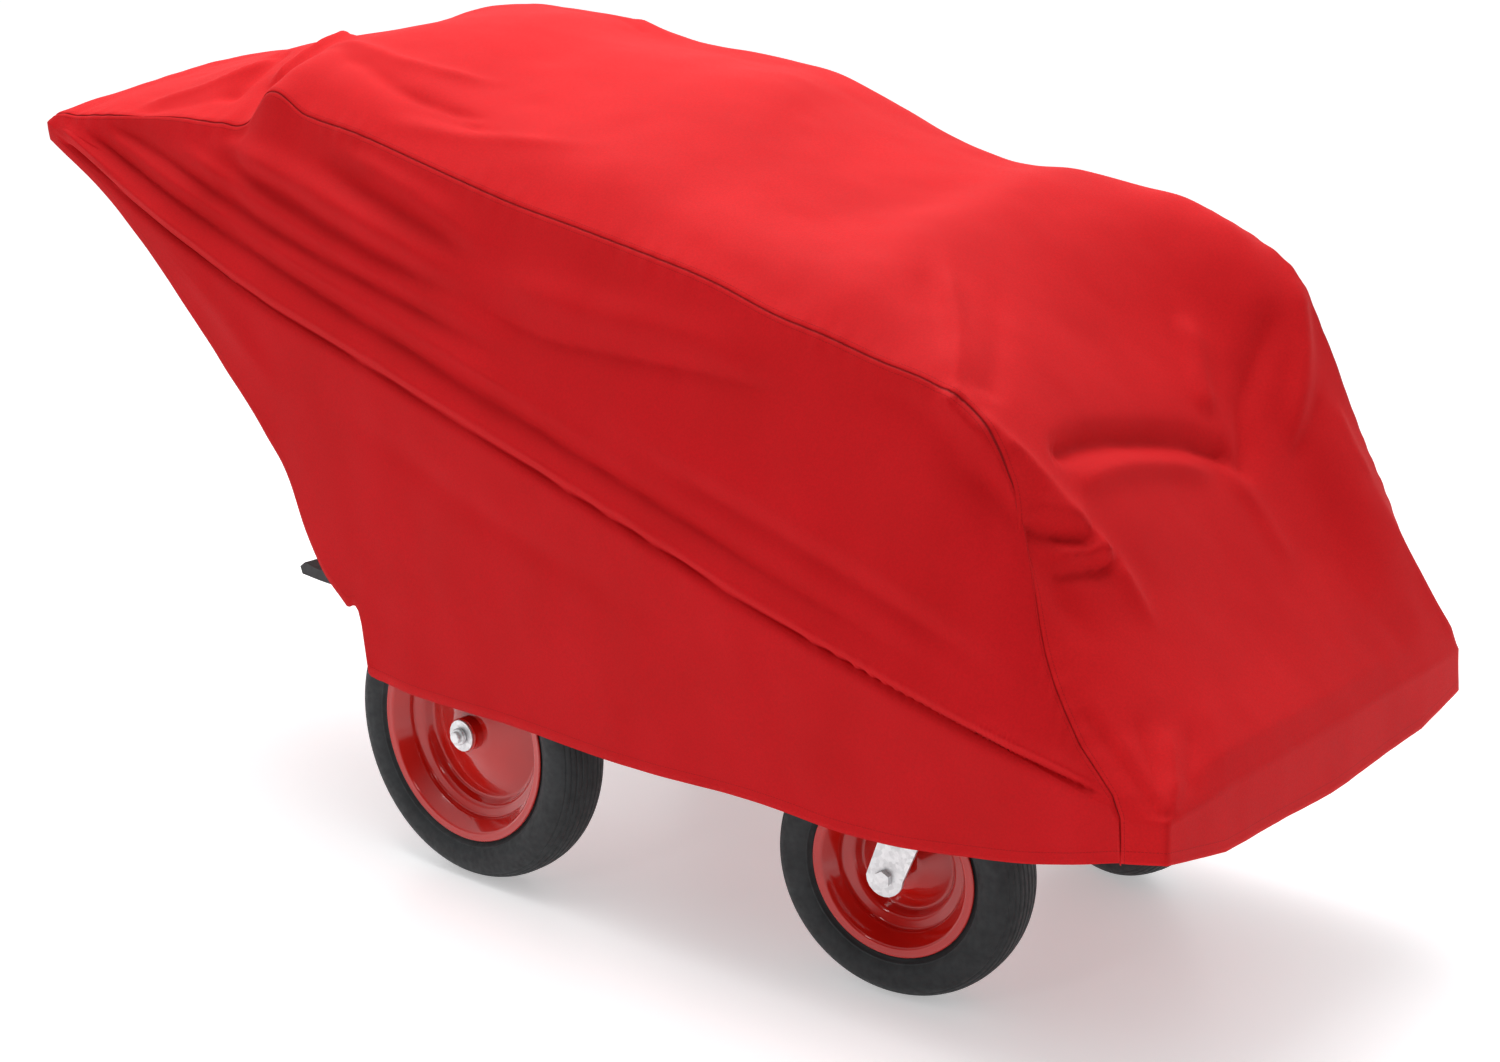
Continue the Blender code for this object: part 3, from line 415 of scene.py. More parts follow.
def rim_profile(flange, hub):
    """Rolled flange, bead seat, drop-centre well, then a ledge, a bowl and a disc up to the hub."""
    seat, well, t = flange - 0.0115, flange - 0.026, SHEET
    outside = [(RIM_EDGE - t, flange - 0.0015), *rounded([
        (RIM_EDGE - t, seat + t + 0.004), (RIM_EDGE - t, seat + t), (0.0140, well + t),
        (-0.0140, well + t), (-RIM_EDGE + t, seat + t), (-RIM_EDGE + t, seat + t + 0.004)], 0.002, 3),
        (-RIM_EDGE + t, flange - 0.0015)]
    middle, lip_r = RIM_EDGE - t / 2, t / 2 + 0.0006
    lip = [(middle + lip_r * cos(a), flange - lip_r + lip_r * sin(a))
           for a in (radians(-20 + 220 * i / 12) for i in range(13))]
    inside = rounded([(RIM_EDGE, flange - 0.004), (RIM_EDGE, seat), (0.0160, well + 0.0005),
                      (0.0100, well - 0.0003), (0.0060, flange - 0.0405), (-0.0075, flange - 0.0475),
                      (0.0165, hub + 0.012), (0.0185, hub + 0.001), (0.0185, hub)], 0.0045, 5)
    behind = rounded([(0.0155, hub), (0.0135, hub + 0.012), (-0.0108, flange - 0.047),
                      (0.0030, flange - 0.040), (0.0060, well), (-0.0160, well), (-RIM_EDGE, seat),
                      (-RIM_EDGE, flange - 0.004)], 0.0030, 4)
    far_lip = [(-a, r) for a, r in lip]
    path = [*lip, *outside, *reversed(far_lip), *reversed(behind), *reversed(inside)]
    return [tuple(float(v) for v in p) for p in path]


def place_round(name, profile, steps, material, centre, turn, body):
    """A turned piece with its axis along a wheel's axle."""
    verts, faces = revolved(profile, steps)
    spin = Matrix.Rotation(turn, 3, "Z")
    verts = [spin @ Vector(v) + centre for v in verts]
    return mesh_piece(name, verts, [f[::-1] for f in faces], material, body, SHARP_ANGLE)


def wheels():
    for end, (radius, flange, half) in WHEEL_SIZES.items():
        for side, sign in SIDES:
            label = f"{end}_{side}"
            body = f"{end}_wheel_{side}"
            centre, turn = wheel_frame(f"{label}_hub")
            low, high = (Vector(corner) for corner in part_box(f"{label}_hub"))
            hub = (high.z - low.z) / 2

            def turned(name, profile, material, steps=128):
                return place_round(f"{label}_{name}", profile, steps, MATERIALS[material], centre, turn,
                                   body)

            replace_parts(turned("tyre_skin", tyre_profile(radius, flange), "tyre_rubber", 144),
                        f"{label}_tyre")
            rim = [(sign * a, r) for a, r in rim_profile(flange, hub)]
            rim = rim[::-1] if sign > 0 else rim
            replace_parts(turned("rim_skin", rim, "rim_enamel"), f"{label}_rim")
            bore = hub * 0.42
            collar = [(-half, bore), (-half, hub - 0.0012), (-half + 0.0012, hub), (half - 0.0012, hub),
                      (half, hub - 0.0012), (half, bore)]
            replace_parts(turned("hub_collar", collar, "rim_enamel", 64), f"{label}_hub")


# ---------------------------------------------------------------- the cover
ACROSS = (0.0, 0.07, 0.25, 0.5, 0.75, 0.93, 1.0)
# Each row of the top panel: x, half width, then the height at seven points from the
# right seam over the crown to the left seam.
TOP_ROWS = (
    (-0.945, 0.352, 0.963, 0.975, 0.998, 1.022, 1.018, 0.990, 0.966),
    (-0.885, 0.348, 0.969, 0.984, 1.008, 1.034, 1.030, 1.000, 0.975),
    (-0.785, 0.338, 0.976, 0.992, 1.026, 1.048, 1.042, 1.015, 0.988),
    (-0.685, 0.328, 0.980, 1.000, 1.052, 1.060, 1.056, 1.030, 1.010),
    (-0.605, 0.316, 0.976, 1.002, 1.068, 1.070, 1.084, 1.066, 1.038),
    (-0.560, 0.308, 0.978, 1.008, 1.073, 1.082, 1.104, 1.082, 1.048),
    (-0.520, 0.302, 1.020, 1.045, 1.080, 1.096, 1.114, 1.092, 1.054),
    (-0.445, 0.300, 0.997, 1.040, 1.085, 1.110, 1.116, 1.093, 1.058),
    (-0.345, 0.300, 0.980, 1.022, 1.070, 1.108, 1.107, 1.086, 1.050),
    (-0.205, 0.300, 0.948, 0.988, 1.035, 1.080, 1.075, 1.060, 1.026),
    (-0.065, 0.300, 0.916, 0.960, 1.012, 1.062, 1.062, 1.046, 1.008),
    (0.055, 0.300, 0.895, 0.940, 0.995, 1.045, 1.047, 1.026, 0.986),
    (0.155, 0.300, 0.877, 0.915, 0.965, 1.006, 1.012, 0.990, 0.950),
    (0.275, 0.300, 0.853, 0.888, 0.925, 0.958, 0.970, 0.945, 0.911),
    (0.375, 0.300, 0.824, 0.862, 0.903, 0.935, 0.950, 0.933, 0.903),
    (0.445, 0.300, 0.810, 0.852, 0.896, 0.925, 0.948, 0.934, 0.908),
    (0.515, 0.300, 0.793, 0.825, 0.862, 0.889, 0.919, 0.926, 0.912),
    (0.595, 0.299, 0.776, 0.795, 0.812, 0.820, 0.860, 0.912, 0.900),
    (0.655, 0.296, 0.745, 0.755, 0.757, 0.758, 0.795, 0.884, 0.875),
)
# The front panel's rows from its top edge down to the hem: the same seven points as x, y, z.
FRONT_ROWS = (
    ((0.705, -0.302, 0.680), (0.707, -0.260, 0.690), (0.705, -0.160, 0.700), (0.712, 0.0, 0.694),
     (0.727, 0.150, 0.712), (0.720, 0.245, 0.815), (0.717, 0.292, 0.838)),
    ((0.737, -0.312, 0.600), (0.750, -0.270, 0.610), (0.760, -0.170, 0.625), (0.763, 0.0, 0.622),
     (0.775, 0.160, 0.640), (0.765, 0.250, 0.735), (0.760, 0.300, 0.762)),
    ((0.775, -0.330, 0.500), (0.800, -0.285, 0.512), (0.815, -0.180, 0.530), (0.825, 0.0, 0.532),
     (0.837, 0.170, 0.548), (0.825, 0.262, 0.630), (0.815, 0.312, 0.638)),
    ((0.830, -0.348, 0.425), (0.868, -0.310, 0.437), (0.883, -0.190, 0.452), (0.890, 0.0, 0.456),
     (0.894, 0.180, 0.466), (0.886, 0.288, 0.530), (0.862, 0.330, 0.522)),
    ((0.880, -0.360, 0.384), (0.928, -0.338, 0.388), (0.934, -0.220, 0.404), (0.936, 0.0, 0.405),
     (0.934, 0.220, 0.408), (0.925, 0.319, 0.440), (0.886, 0.348, 0.440)),
    ((0.892, -0.363, 0.362), (0.944, -0.353, 0.366), (0.948, -0.240, 0.373), (0.949, 0.0, 0.376),
     (0.948, 0.240, 0.377), (0.944, 0.350, 0.377), (0.892, 0.361, 0.376)),
    ((0.896, -0.363, 0.312), (0.946, -0.354, 0.320), (0.952, -0.240, 0.300), (0.954, 0.0, 0.294),
     (0.951, 0.240, 0.304), (0.946, 0.353, 0.322), (0.896, 0.363, 0.318)),
)
REAR_HEM = ((-0.003, -0.030), (-0.008, -0.012))    # x and z of the wrap behind the handle
RIDGE = [(-0.886, 0.928), (-0.719, 0.843), (-0.527, 0.766), (-0.210, 0.671), (0.144, 0.565),
         (0.458, 0.472), (0.737, 0.406), (0.896, 0.368)]
LOWER_EDGE = [(-0.945, 0.932), (-0.884, 0.898), (-0.793, 0.845), (-0.718, 0.786), (-0.614, 0.691),
              (-0.490, 0.567), (-0.437, 0.498), (-0.410, 0.439), (-0.382, 0.394), (-0.334, 0.347),
              (-0.302, 0.316), (-0.294, 0.262), (-0.284, 0.255), (-0.262, 0.252), (-0.220, 0.248),
              (-0.040, 0.248), (0.200, 0.243), (0.400, 0.250), (0.550, 0.246), (0.688, 0.262),
              (0.821, 0.289), (0.896, 0.312)]
COVER_HALF_WIDTH = 0.366
CLOTH = 0.0012                   # thickness of the fabric
GRID = 0.0057                    # spacing of the cover's mesh
TOP_WIDTH, SIDE_DEPTH = 0.64, 0.35    # rough lengths across a panel, which set the seam's columns

# Folds in the cover: height out of the cloth (below zero for a groove), half width, how much of
# each end fades out, and the line as x, z down the side or as x, y, z over the top and front.
SIDE_FOLDS = (
    (-0.0120, 0.0050, (0.02, 0.05), [(-0.925, 0.940), *RIDGE[1:-1], (0.940, 0.372)]),
    (0.0085, 0.0100, (0.02, 0.05), [(-0.925, 0.958), (-0.719, 0.860), (-0.527, 0.783), (-0.210, 0.688),
                                    (0.144, 0.582), (0.458, 0.488), (0.737, 0.420), (0.930, 0.378)]),
    (-0.0150, 0.0115, (0.03, 0.30), [(-0.870, 0.950), (-0.646, 0.860), (-0.391, 0.774), (-0.192, 0.714),
                                     (0.005, 0.654), (0.163, 0.606), (0.400, 0.534), (0.740, 0.444)]),
    (0.0080, 0.0110, (0.05, 0.35), [(-0.840, 0.957), (-0.640, 0.880), (-0.400, 0.802), (-0.190, 0.742),
                                    (0.040, 0.674), (0.250, 0.610)]),
    (-0.0130, 0.0115, (0.05, 0.35), [(-0.830, 0.968), (-0.627, 0.897), (-0.469, 0.842), (-0.280, 0.792),
                                     (-0.092, 0.742), (0.060, 0.704)]),
    (0.0100, 0.0145, (0.15, 0.40), [(-0.700, 0.945), (-0.515, 0.886), (-0.331, 0.830), (-0.133, 0.779),
                                    (0.020, 0.739)]),
    (-0.0120, 0.0140, (0.20, 0.35), [(-0.600, 0.930), (-0.480, 0.893), (-0.396, 0.864), (-0.218, 0.814),
                                     (-0.080, 0.778)]),
    (0.0160, 0.0220, (0.25, 0.40), [(-0.640, 0.958), (-0.500, 0.928), (-0.338, 0.883), (-0.180, 0.835),
                                    (-0.060, 0.797)]),
    (0.0100, 0.0200, (0.30, 0.40), [(-0.400, 0.972), (-0.212, 0.906), (-0.044, 0.838)]),
    (-0.0110, 0.0160, (0.35, 0.40), [(-0.430, 0.942), (-0.300, 0.903), (-0.160, 0.862), (-0.060, 0.828)]),
    (-0.0080, 0.0120, (0.20, 0.40), [(-0.120, 0.795), (0.002, 0.762), (0.160, 0.752), (0.340, 0.744),
                                     (0.480, 0.722)]),
    (0.0130, 0.0280, (0.25, 0.40), [(-0.100, 0.830), (0.080, 0.800), (0.260, 0.785), (0.440, 0.750)]),
    (0.0060, 0.0200, (0.25, 0.35), [(0.100, 0.690), (0.350, 0.625), (0.620, 0.545), (0.780, 0.480)]),
    (-0.0065, 0.0140, (0.25, 0.35), [(0.180, 0.645), (0.400, 0.585), (0.640, 0.510), (0.800, 0.450)]),
    (-0.0060, 0.0200, (0.30, 0.30), [(0.480, 0.770), (0.600, 0.730), (0.680, 0.650), (0.720, 0.560)]),
    (0.0040, 0.0200, (0.30, 0.40), [(-0.680, 0.800), (-0.520, 0.690), (-0.420, 0.600)]),
    (-0.0030, 0.0180, (0.30, 0.40), [(-0.350, 0.630), (-0.050, 0.520), (0.300, 0.430)]),
)
FOLDS = (
    # the corner over the rear seat back, and the pinch behind it
    (0.0130, 0.0130, (0.10, 0.25), [(-0.560, -0.110, 1.080), (-0.567, -0.147, 1.075),
                                    (-0.576, -0.194, 1.052), (-0.585, -0.249, 1.015)]),
    (-0.0120, 0.0200, (0.20, 0.20), [(-0.640, -0.150, 1.055), (-0.645, -0.215, 1.025),
                                     (-0.650, -0.280, 0.990)]),
    (0.0110, 0.0130, (0.25, 0.20), [(-0.800, -0.315, 0.985), (-0.700, -0.243, 1.022),
                                    (-0.630, -0.165, 1.062)]),
    (-0.0060, 0.0130, (0.25, 0.20), [(-0.790, -0.330, 0.977), (-0.690, -0.285, 0.990),
                                     (-0.620, -0.235, 1.015)]),
    (0.0085, 0.0130, (0.20, 0.35), [(-0.560, -0.175, 1.070), (-0.470, -0.178, 1.075),
                                    (-0.371, -0.190, 1.061), (-0.272, -0.167, 1.046),
                                    (-0.179, -0.133, 1.037)]),
    (-0.0095, 0.0130, (0.15, 0.35), [(-0.500, -0.205, 1.060), (-0.423, -0.215, 1.055),
                                     (-0.329, -0.235, 1.030), (-0.255, -0.232, 1.015),
                                     (-0.126, -0.213, 0.999)]),
    (0.0055, 0.0100, (0.25, 0.35), [(-0.360, -0.272, 1.000), (-0.232, -0.262, 0.985),
                                    (-0.083, -0.231, 0.982), (0.020, -0.200, 0.980)]),
    (-0.0060, 0.0100, (0.25, 0.35), [(-0.330, -0.250, 1.010), (-0.232, -0.245, 1.000),
                                     (-0.120, -0.235, 0.985)]),
    (-0.0045, 0.0100, (0.30, 0.35), [(-0.350, 0.205, 1.104), (-0.287, 0.185, 1.093),
                                     (-0.240, 0.170, 1.085)]),
    (0.0040, 0.0120, (0.30, 0.35), [(-0.345, 0.235, 1.098), (-0.280, 0.215, 1.090),
                                    (-0.220, 0.190, 1.080)]),
    # soft hollows across the top
    (-0.0040, 0.0450, (0.40, 0.40), [(-0.300, 0.050, 1.085), (-0.150, -0.050, 1.060),
                                     (-0.020, -0.150, 1.020)]),
    (0.0040, 0.0400, (0.40, 0.40), [(0.020, 0.200, 1.050), (0.100, 0.050, 1.025), (0.150, -0.150, 0.960)]),
    (-0.0040, 0.0450, (0.40, 0.40), [(0.250, -0.250, 0.880), (0.350, -0.080, 0.915), (0.420, 0.150, 0.940)]),
    (-0.0050, 0.0180, (0.25, 0.30), [(0.450, -0.150, 0.870), (0.540, -0.215, 0.835), (0.615, -0.280, 0.785)]),
    # the corner over the grab bar
    (0.0085, 0.0130, (0.05, 0.40), [(0.627, -0.307, 0.756), (0.599, -0.261, 0.792), (0.555, -0.202, 0.830),
                                    (0.502, -0.149, 0.869), (0.456, -0.104, 0.904)]),
    (-0.0060, 0.0200, (0.10, 0.40), [(0.650, -0.270, 0.760), (0.625, -0.215, 0.795), (0.585, -0.150, 0.835),
                                     (0.530, -0.090, 0.870)]),
    (0.0130, 0.0130, (0.10, 0.25), [(0.600, -0.304, 0.772), (0.645, -0.299, 0.742), (0.709, -0.267, 0.690),
                                    (0.765, -0.225, 0.610), (0.799, -0.200, 0.552), (0.842, -0.191, 0.496)]),
    (-0.0100, 0.0170, (0.15, 0.30), [(0.650, -0.318, 0.700), (0.715, -0.305, 0.640), (0.770, -0.290, 0.560),
                                     (0.815, -0.270, 0.500)]),
    (-0.0160, 0.0095, (0.15, 0.25), [(0.728, -0.302, 0.640), (0.742, -0.272, 0.624), (0.770, -0.222, 0.612)]),
    (0.0120, 0.0110, (0.25, 0.25), [(0.722, -0.290, 0.664), (0.740, -0.258, 0.648), (0.762, -0.222, 0.633)]),
    (-0.0150, 0.0095, (0.20, 0.20), [(0.752, -0.292, 0.584), (0.768, -0.250, 0.582), (0.786, -0.200, 0.584)]),
    (0.0110, 0.0100, (0.25, 0.30), [(0.748, -0.282, 0.604), (0.764, -0.240, 0.600), (0.780, -0.205, 0.598)]),
    # the hollow where the cloth sinks behind the bar, and the valley up to the far corner
    (-0.0185, 0.0160, (0.12, 0.08), [(0.704, -0.235, 0.698), (0.703, -0.150, 0.700), (0.711, -0.060, 0.688),
                                     (0.728, 0.030, 0.668), (0.756, 0.100, 0.640)]),
    (0.0080, 0.0140, (0.20, 0.25), [(0.728, -0.225, 0.664), (0.730, -0.120, 0.666), (0.740, -0.030, 0.652),
                                    (0.760, 0.050, 0.628)]),
    (-0.0120, 0.0180, (0.25, 0.10), [(0.722, 0.246, 0.812), (0.729, 0.186, 0.744), (0.742, 0.141, 0.690),
                                     (0.758, 0.118, 0.650), (0.775, 0.080, 0.620)]),
    (0.0095, 0.0160, (0.30, 0.20), [(0.640, 0.140, 0.800), (0.670, 0.130, 0.770), (0.698, 0.103, 0.727),
                                    (0.728, 0.080, 0.688)]),
    (0.0110, 0.0160, (0.20, 0.30), [(0.715, 0.285, 0.840), (0.760, 0.242, 0.739), (0.778, 0.205, 0.680),
                                    (0.789, 0.168, 0.625)]),
    (0.0045, 0.0140, (0.25, 0.35), [(0.762, 0.055, 0.640), (0.785, 0.080, 0.606), (0.820, 0.092, 0.560),
                                    (0.853, 0.096, 0.506)]),
    (-0.0060, 0.0120, (0.25, 0.30), [(0.780, 0.255, 0.705), (0.785, 0.210, 0.660), (0.795, 0.165, 0.615)]),
    (0.0050, 0.0120, (0.25, 0.30), [(0.790, 0.270, 0.690), (0.815, 0.268, 0.645), (0.848, 0.275, 0.588)]),
    (0.0040, 0.0110, (0.30, 0.20), [(0.490, -0.140, 0.865), (0.538, -0.200, 0.838), (0.580, -0.255, 0.805),
                                    (0.613, -0.294, 0.771)]),
    # the front lip
    (-0.0090, 0.0080, (0.35, 0.05), [(0.800, -0.325, 0.475), (0.829, -0.326, 0.448), (0.885, -0.336, 0.404),
                                     (0.941, -0.350, 0.368)]),
    (0.0075, 0.0080, (0.35, 0.05), [(0.815, -0.310, 0.478), (0.855, -0.322, 0.438), (0.900, -0.332, 0.400),
                                    (0.941, -0.348, 0.370)]),
    (-0.0070, 0.0080, (0.30, 0.05), [(0.862, -0.288, 0.458), (0.905, -0.318, 0.408), (0.941, -0.347, 0.370)]),
    (0.0070, 0.0085, (0.30, 0.05), [(0.885, -0.262, 0.440), (0.916, -0.300, 0.406), (0.941, -0.344, 0.370)]),
    (-0.0040, 0.0090, (0.30, 0.20), [(0.893, -0.225, 0.440), (0.918, -0.262, 0.408), (0.938, -0.310, 0.378)]),
    (0.0050, 0.0100, (0.15, 0.25), [(0.890, 0.330, 0.500), (0.915, 0.330, 0.450), (0.940, 0.342, 0.384)]),
)


def read_line(points, x):
    """The heights of an (x, z) line at the positions x."""
    points = np.array(points)
    return spline(points[:, 0], points[:, 1:], x)[:, 0]


def cover_rows():
    rows = []
    for x, half, *heights in TOP_ROWS:
        rows.append([(x, half * (2 * t - 1), z) for t, z in zip(ACROSS, heights)])
    first = np.array(rows[0])
    wrap = [first + (x, 0.0, z) for x, z in REAR_HEM]
    return np.array([*wrap, *rows, *FRONT_ROWS])


def seamed(spots, width):
    """Adds two close columns at each end of 0…1, for the groove of a seam."""
    fine = np.array([0.0025, 0.0050]) / width
    inner = spots[(spots > fine[1] * 1.3) & (spots < 1 - fine[1] * 1.3)]
    return np.concatenate([[0.0], fine, inner, 1 - fine[::-1], [1.0]])


class CoverGrid:
    """The whole cover as one grid of points, hem to hem both ways, before it is cut at the seams."""

    def __init__(self):
        rows = cover_rows()
        path = rows[:, 2:5].mean(axis=1)
        along = np.concatenate([[0], np.cumsum(np.linalg.norm(np.diff(path, axis=0), axis=1))])
        self.length = along[-1]
        count = int(self.length / GRID)
        s = np.linspace(0, self.length, count + 1)
        first, last = along[len(REAR_HEM)], along[-2]
        s[np.argmin(abs(s - first))] = first
        s[np.argmin(abs(s - last))] = last
        self.s = s
        v = seamed(np.linspace(0, 1, int(TOP_WIDTH / GRID) + 1), TOP_WIDTH)
        for corner in ACROSS[1], ACROSS[-2]:
            v[np.argmin(abs(v - corner))] = corner
        shape = (len(s), len(v), 3)
        fine = np.stack([spline(ACROSS, row, v) for row in rows]).reshape(len(rows), -1)
        straight = np.stack([ruled(ACROSS, row, v) for row in rows]).reshape(len(rows), -1)
        # The lip is turned over a hem band, so its edges are sharp where the rest is rounded.
        crisp = soft_step((s - along[-5]) / (along[-3] - along[-5]))[:, None, None]
        self.top = ((1 - crisp) * spline(along, fine, s).reshape(shape)
                    + crisp * ruled(along, straight, s).reshape(shape))
        self.span = slice(int(np.argmin(abs(s - first))), len(s))
        self.sides = {side: self.side(sign, self.top[self.span, 0 if sign < 0 else -1])
                      for side, sign in SIDES}

    def side(self, sign, seam):
        """Columns from the hem up to the seam points."""
        x, seam_y, seam_z = seam.T
        low = np.minimum(read_line(LOWER_EDGE, x), seam_z - 0.004)
        ridge = np.clip(read_line(RIDGE, x), low + (seam_z - low) * 0.2, low + (seam_z - low) * 0.85)
        wide = sign * (COVER_HALF_WIDTH - 0.004 * soft_step((np.abs(x - 0.03) - 0.80) / 0.1))
        columns = []
        for t in 1 - (1 - np.linspace(0, 1, 48)[:-1]) ** 1.5:
            columns.append(np.stack([x, wide - sign * 0.003 * (1 - t) ** 1.5, low + (ridge - low) * t], 1))
        for t in seamed(np.linspace(0, 1, 70) ** 1.25, SIDE_DEPTH)[3:]:
            y = wide + (seam_y - wide) * t ** 1.12
            columns.append(np.stack([x, y, ridge + (seam_z - ridge) * t], 1))
        return np.stack(columns, 1)


def grid_faces(rows, columns, flip=False):
    i, j = np.meshgrid(np.arange(rows - 1), np.arange(columns - 1), indexing="ij")
    a = (i * columns + j).ravel()
    faces = np.stack([a, a + 1, a + columns + 1, a + columns], 1)
    return faces[:, ::-1] if flip else faces


def cover_panels():
    grid = CoverGrid()
    panels = {}
    n, m = grid.top.shape[:2]
    panels["top"] = (grid.top, grid_faces(n, m, True))
    for side, sign in SIDES:
        points = grid.sides[side]
        panels[side] = (points, grid_faces(*points.shape[:2], sign < 0))
    return grid, panels


def grid_normals(points):
    """Unit normals of a grid of points, by central differences."""
    normal = np.cross(np.gradient(points, axis=0), np.gradient(points, axis=1))
    return normal / np.maximum(np.linalg.norm(normal, axis=2, keepdims=True), 1e-9)


PINCH_WIDTH = 0.0135             # folds narrower than this are pinched to an edge
PINCHED, SOFT = 1.15, 1.9        # how fast a fold's sides fall away


def fold_push(points, height, width, fade, line):
    """How far each point moves out along its normal, beside one fold line."""
    nodes = np.array(line, float)
    run = np.concatenate([[0], np.cumsum(np.linalg.norm(np.diff(nodes, axis=0), axis=1))])
    path = spline(run, nodes, np.linspace(0, run[-1], max(int(run[-1] / 0.006), 8)))
    reach = 3.0 * width
    near = np.all((points > path.min(0) - reach) & (points < path.max(0) + reach), axis=1)
    push = np.zeros(len(points))
    gap = points[near][:, None, :] - path[None]
    apart = (gap ** 2).sum(2)
    best = apart.argmin(1)
    t = best / (len(path) - 1)
    ends = soft_step(t / fade[0]) * soft_step((1 - t) / fade[1])
    power = PINCHED if width < PINCH_WIDTH else SOFT
    push[near] = height * ends * np.exp(-(np.sqrt(apart[np.arange(len(best)), best]) / width) ** power)
    return push


def ripple(points, seed, wavelength, height, count=18):
    """Slow random waves through space, the same on every run."""
    random = np.random.RandomState(seed)
    total = np.zeros(len(points))
    for _ in range(count):
        direction = random.normal(size=3)
        direction /= np.linalg.norm(direction)
        length = wavelength * random.uniform(0.7, 1.6)
        total += np.sin(points @ direction * 2 * pi / length + random.uniform(0, 2 * pi))
    return height * total / np.sqrt(count)


def seam_pucker(points, edge):
    """Small gathers square to a seam that die away a few centimetres from it."""
    steps = np.linalg.norm(np.diff(edge, axis=0), axis=1)
    run = np.concatenate([[0], np.cumsum(steps)])
    gap = np.sqrt(((points - edge[:, None, :]) ** 2).sum(2))
    wave = np.sin(run * 2 * pi / 0.031 + 2.1 * np.sin(run * 9.0)) * (0.6 + 0.4 * np.sin(run * 23.0))
    return 0.0007 * wave[:, None] * np.exp(-(gap / 0.022) ** 2) - 0.0022 * np.exp(-(gap / 0.0024) ** 2)


def crumple(grid, panels):
    """Moves the cloth into its folds. Points that the panels share at a seam move together."""
    moved = {}
    for key, (points, _) in panels.items():
        outward = grid_normals(points)
        if key == "top":
            outward = outward if outward[len(points) // 2, 40, 2] > 0 else -outward
        else:
            sign = dict(SIDES)[key]
            outward = outward if outward[100, 10, 1] * sign > 0 else -outward
        moved[key] = outward
    top = moved["top"]
    for key, column in (("right", 0), ("left", -1)):
        shared = top[grid.span, column] + moved[key][:, -1]
        shared /= np.linalg.norm(shared, axis=1, keepdims=True)
        top[grid.span, column] = shared
        moved[key][:, -1] = shared
    for key, (points, faces) in panels.items():
        flat = points.reshape(-1, 3)
        push = ripple(flat, 3, 0.16, 0.0011) + ripple(flat, 5, 0.055, 0.00035)
        for fold in FOLDS:
            push += fold_push(flat, *fold)
        push = push.reshape(points.shape[:2])
        if key == "top":
            for column in (0, -1):
                edge = points[grid.span, column]
                push[grid.span] += seam_pucker(points[grid.span], edge)
        else:
            # The left side repeats the right one's folds, weaker and set back.
            side = flat * (1.0, 0.0, 1.0)
            grow = 1.0 if key == "right" else 0.85
            shift = 0.0 if key == "right" else 0.030
            down = np.zeros(len(flat))
            for height, width, fade, line in SIDE_FOLDS:
                spots = [(x - shift * (i % 2), 0.0, z) for i, (x, z) in enumerate(line)]
                down += fold_push(side, grow * height, width, fade, spots)
            seam_gap = np.linalg.norm(points - points[:, -1:], axis=2)
            push += down.reshape(push.shape) * soft_step(seam_gap / 0.035)
            push += seam_pucker(points, points[:, -1])
        panels[key] = (points + push[:, :, None] * moved[key], faces)
    return panels


def cloth_uv(points):
    """Lengths along and across a grid of points, in metres."""
    du = np.linalg.norm(np.diff(points, axis=0), axis=2)
    dv = np.linalg.norm(np.diff(points, axis=1), axis=2)
    u = np.concatenate([np.zeros((1, points.shape[1])), np.cumsum(du, 0)])
    v = np.concatenate([np.zeros((points.shape[0], 1)), np.cumsum(dv, 1)], axis=1)
    mid = points.shape[1] // 2
    return np.stack([np.repeat(u[:, mid:mid + 1], points.shape[1], 1), v - v[:, mid:mid + 1]], 2)


def edge_lengths(key, points):
    """For each point, its distance from the seam and along it, and the same for the hem."""
    across = np.linalg.norm(np.diff(points, axis=1), axis=2)
    from_first = np.concatenate([np.zeros((len(points), 1)), np.cumsum(across, axis=1)], axis=1)
    from_last = from_first[:, -1:] - from_first
    along = np.linalg.norm(np.diff(points, axis=0), axis=2)
    from_rear = np.concatenate([np.zeros((1, points.shape[1])), np.cumsum(along, axis=0)])
    from_front = from_rear[-1:] - from_rear
    edge = -1 if key != "top" else 0
    run = np.repeat(from_rear[:, edge:][:, :1], points.shape[1], axis=1)
    if key == "top":
        seam = np.stack([np.minimum(from_first, from_last), run], 2)
        hem = np.stack([np.minimum(from_rear, from_front), from_first], 2)
    else:
        seam = np.stack([from_last, run], 2)
        hem = np.stack([from_first, from_rear[:, :1].repeat(points.shape[1], 1)], 2)
    return seam.reshape(-1, 2), hem.reshape(-1, 2)


def cover():
    grid, panels = cover_panels()
    panels = crumple(grid, panels)
    for key, (points, faces) in panels.items():
        slot = "cover_top_fabric" if key == "top" else "cover_side_fabric"
        name = "cover_top_cloth" if key == "top" else f"cover_side_{key}_cloth"
        piece = mesh_piece(name, points.reshape(-1, 3), faces, MATERIALS[slot], "cover")
        uv = cloth_uv(points).reshape(-1, 2)
        seam, hem = edge_lengths(key, points)
        for layer_name, values in (("cloth", uv), ("seam", seam), ("hem", hem)):
            layer = piece.data.uv_layers.new(name=layer_name)
            loops = np.empty(len(piece.data.loops), int)
            piece.data.loops.foreach_get("vertex_index", loops)
            layer.data.foreach_set("uv", values[loops].ravel())
        shell = piece.modifiers.new("cloth", "SOLIDIFY")
        shell.thickness = CLOTH
        shell.offset = 0.0
        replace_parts(piece, "cover_top_panel" if key == "top" else f"cover_side_{key}")


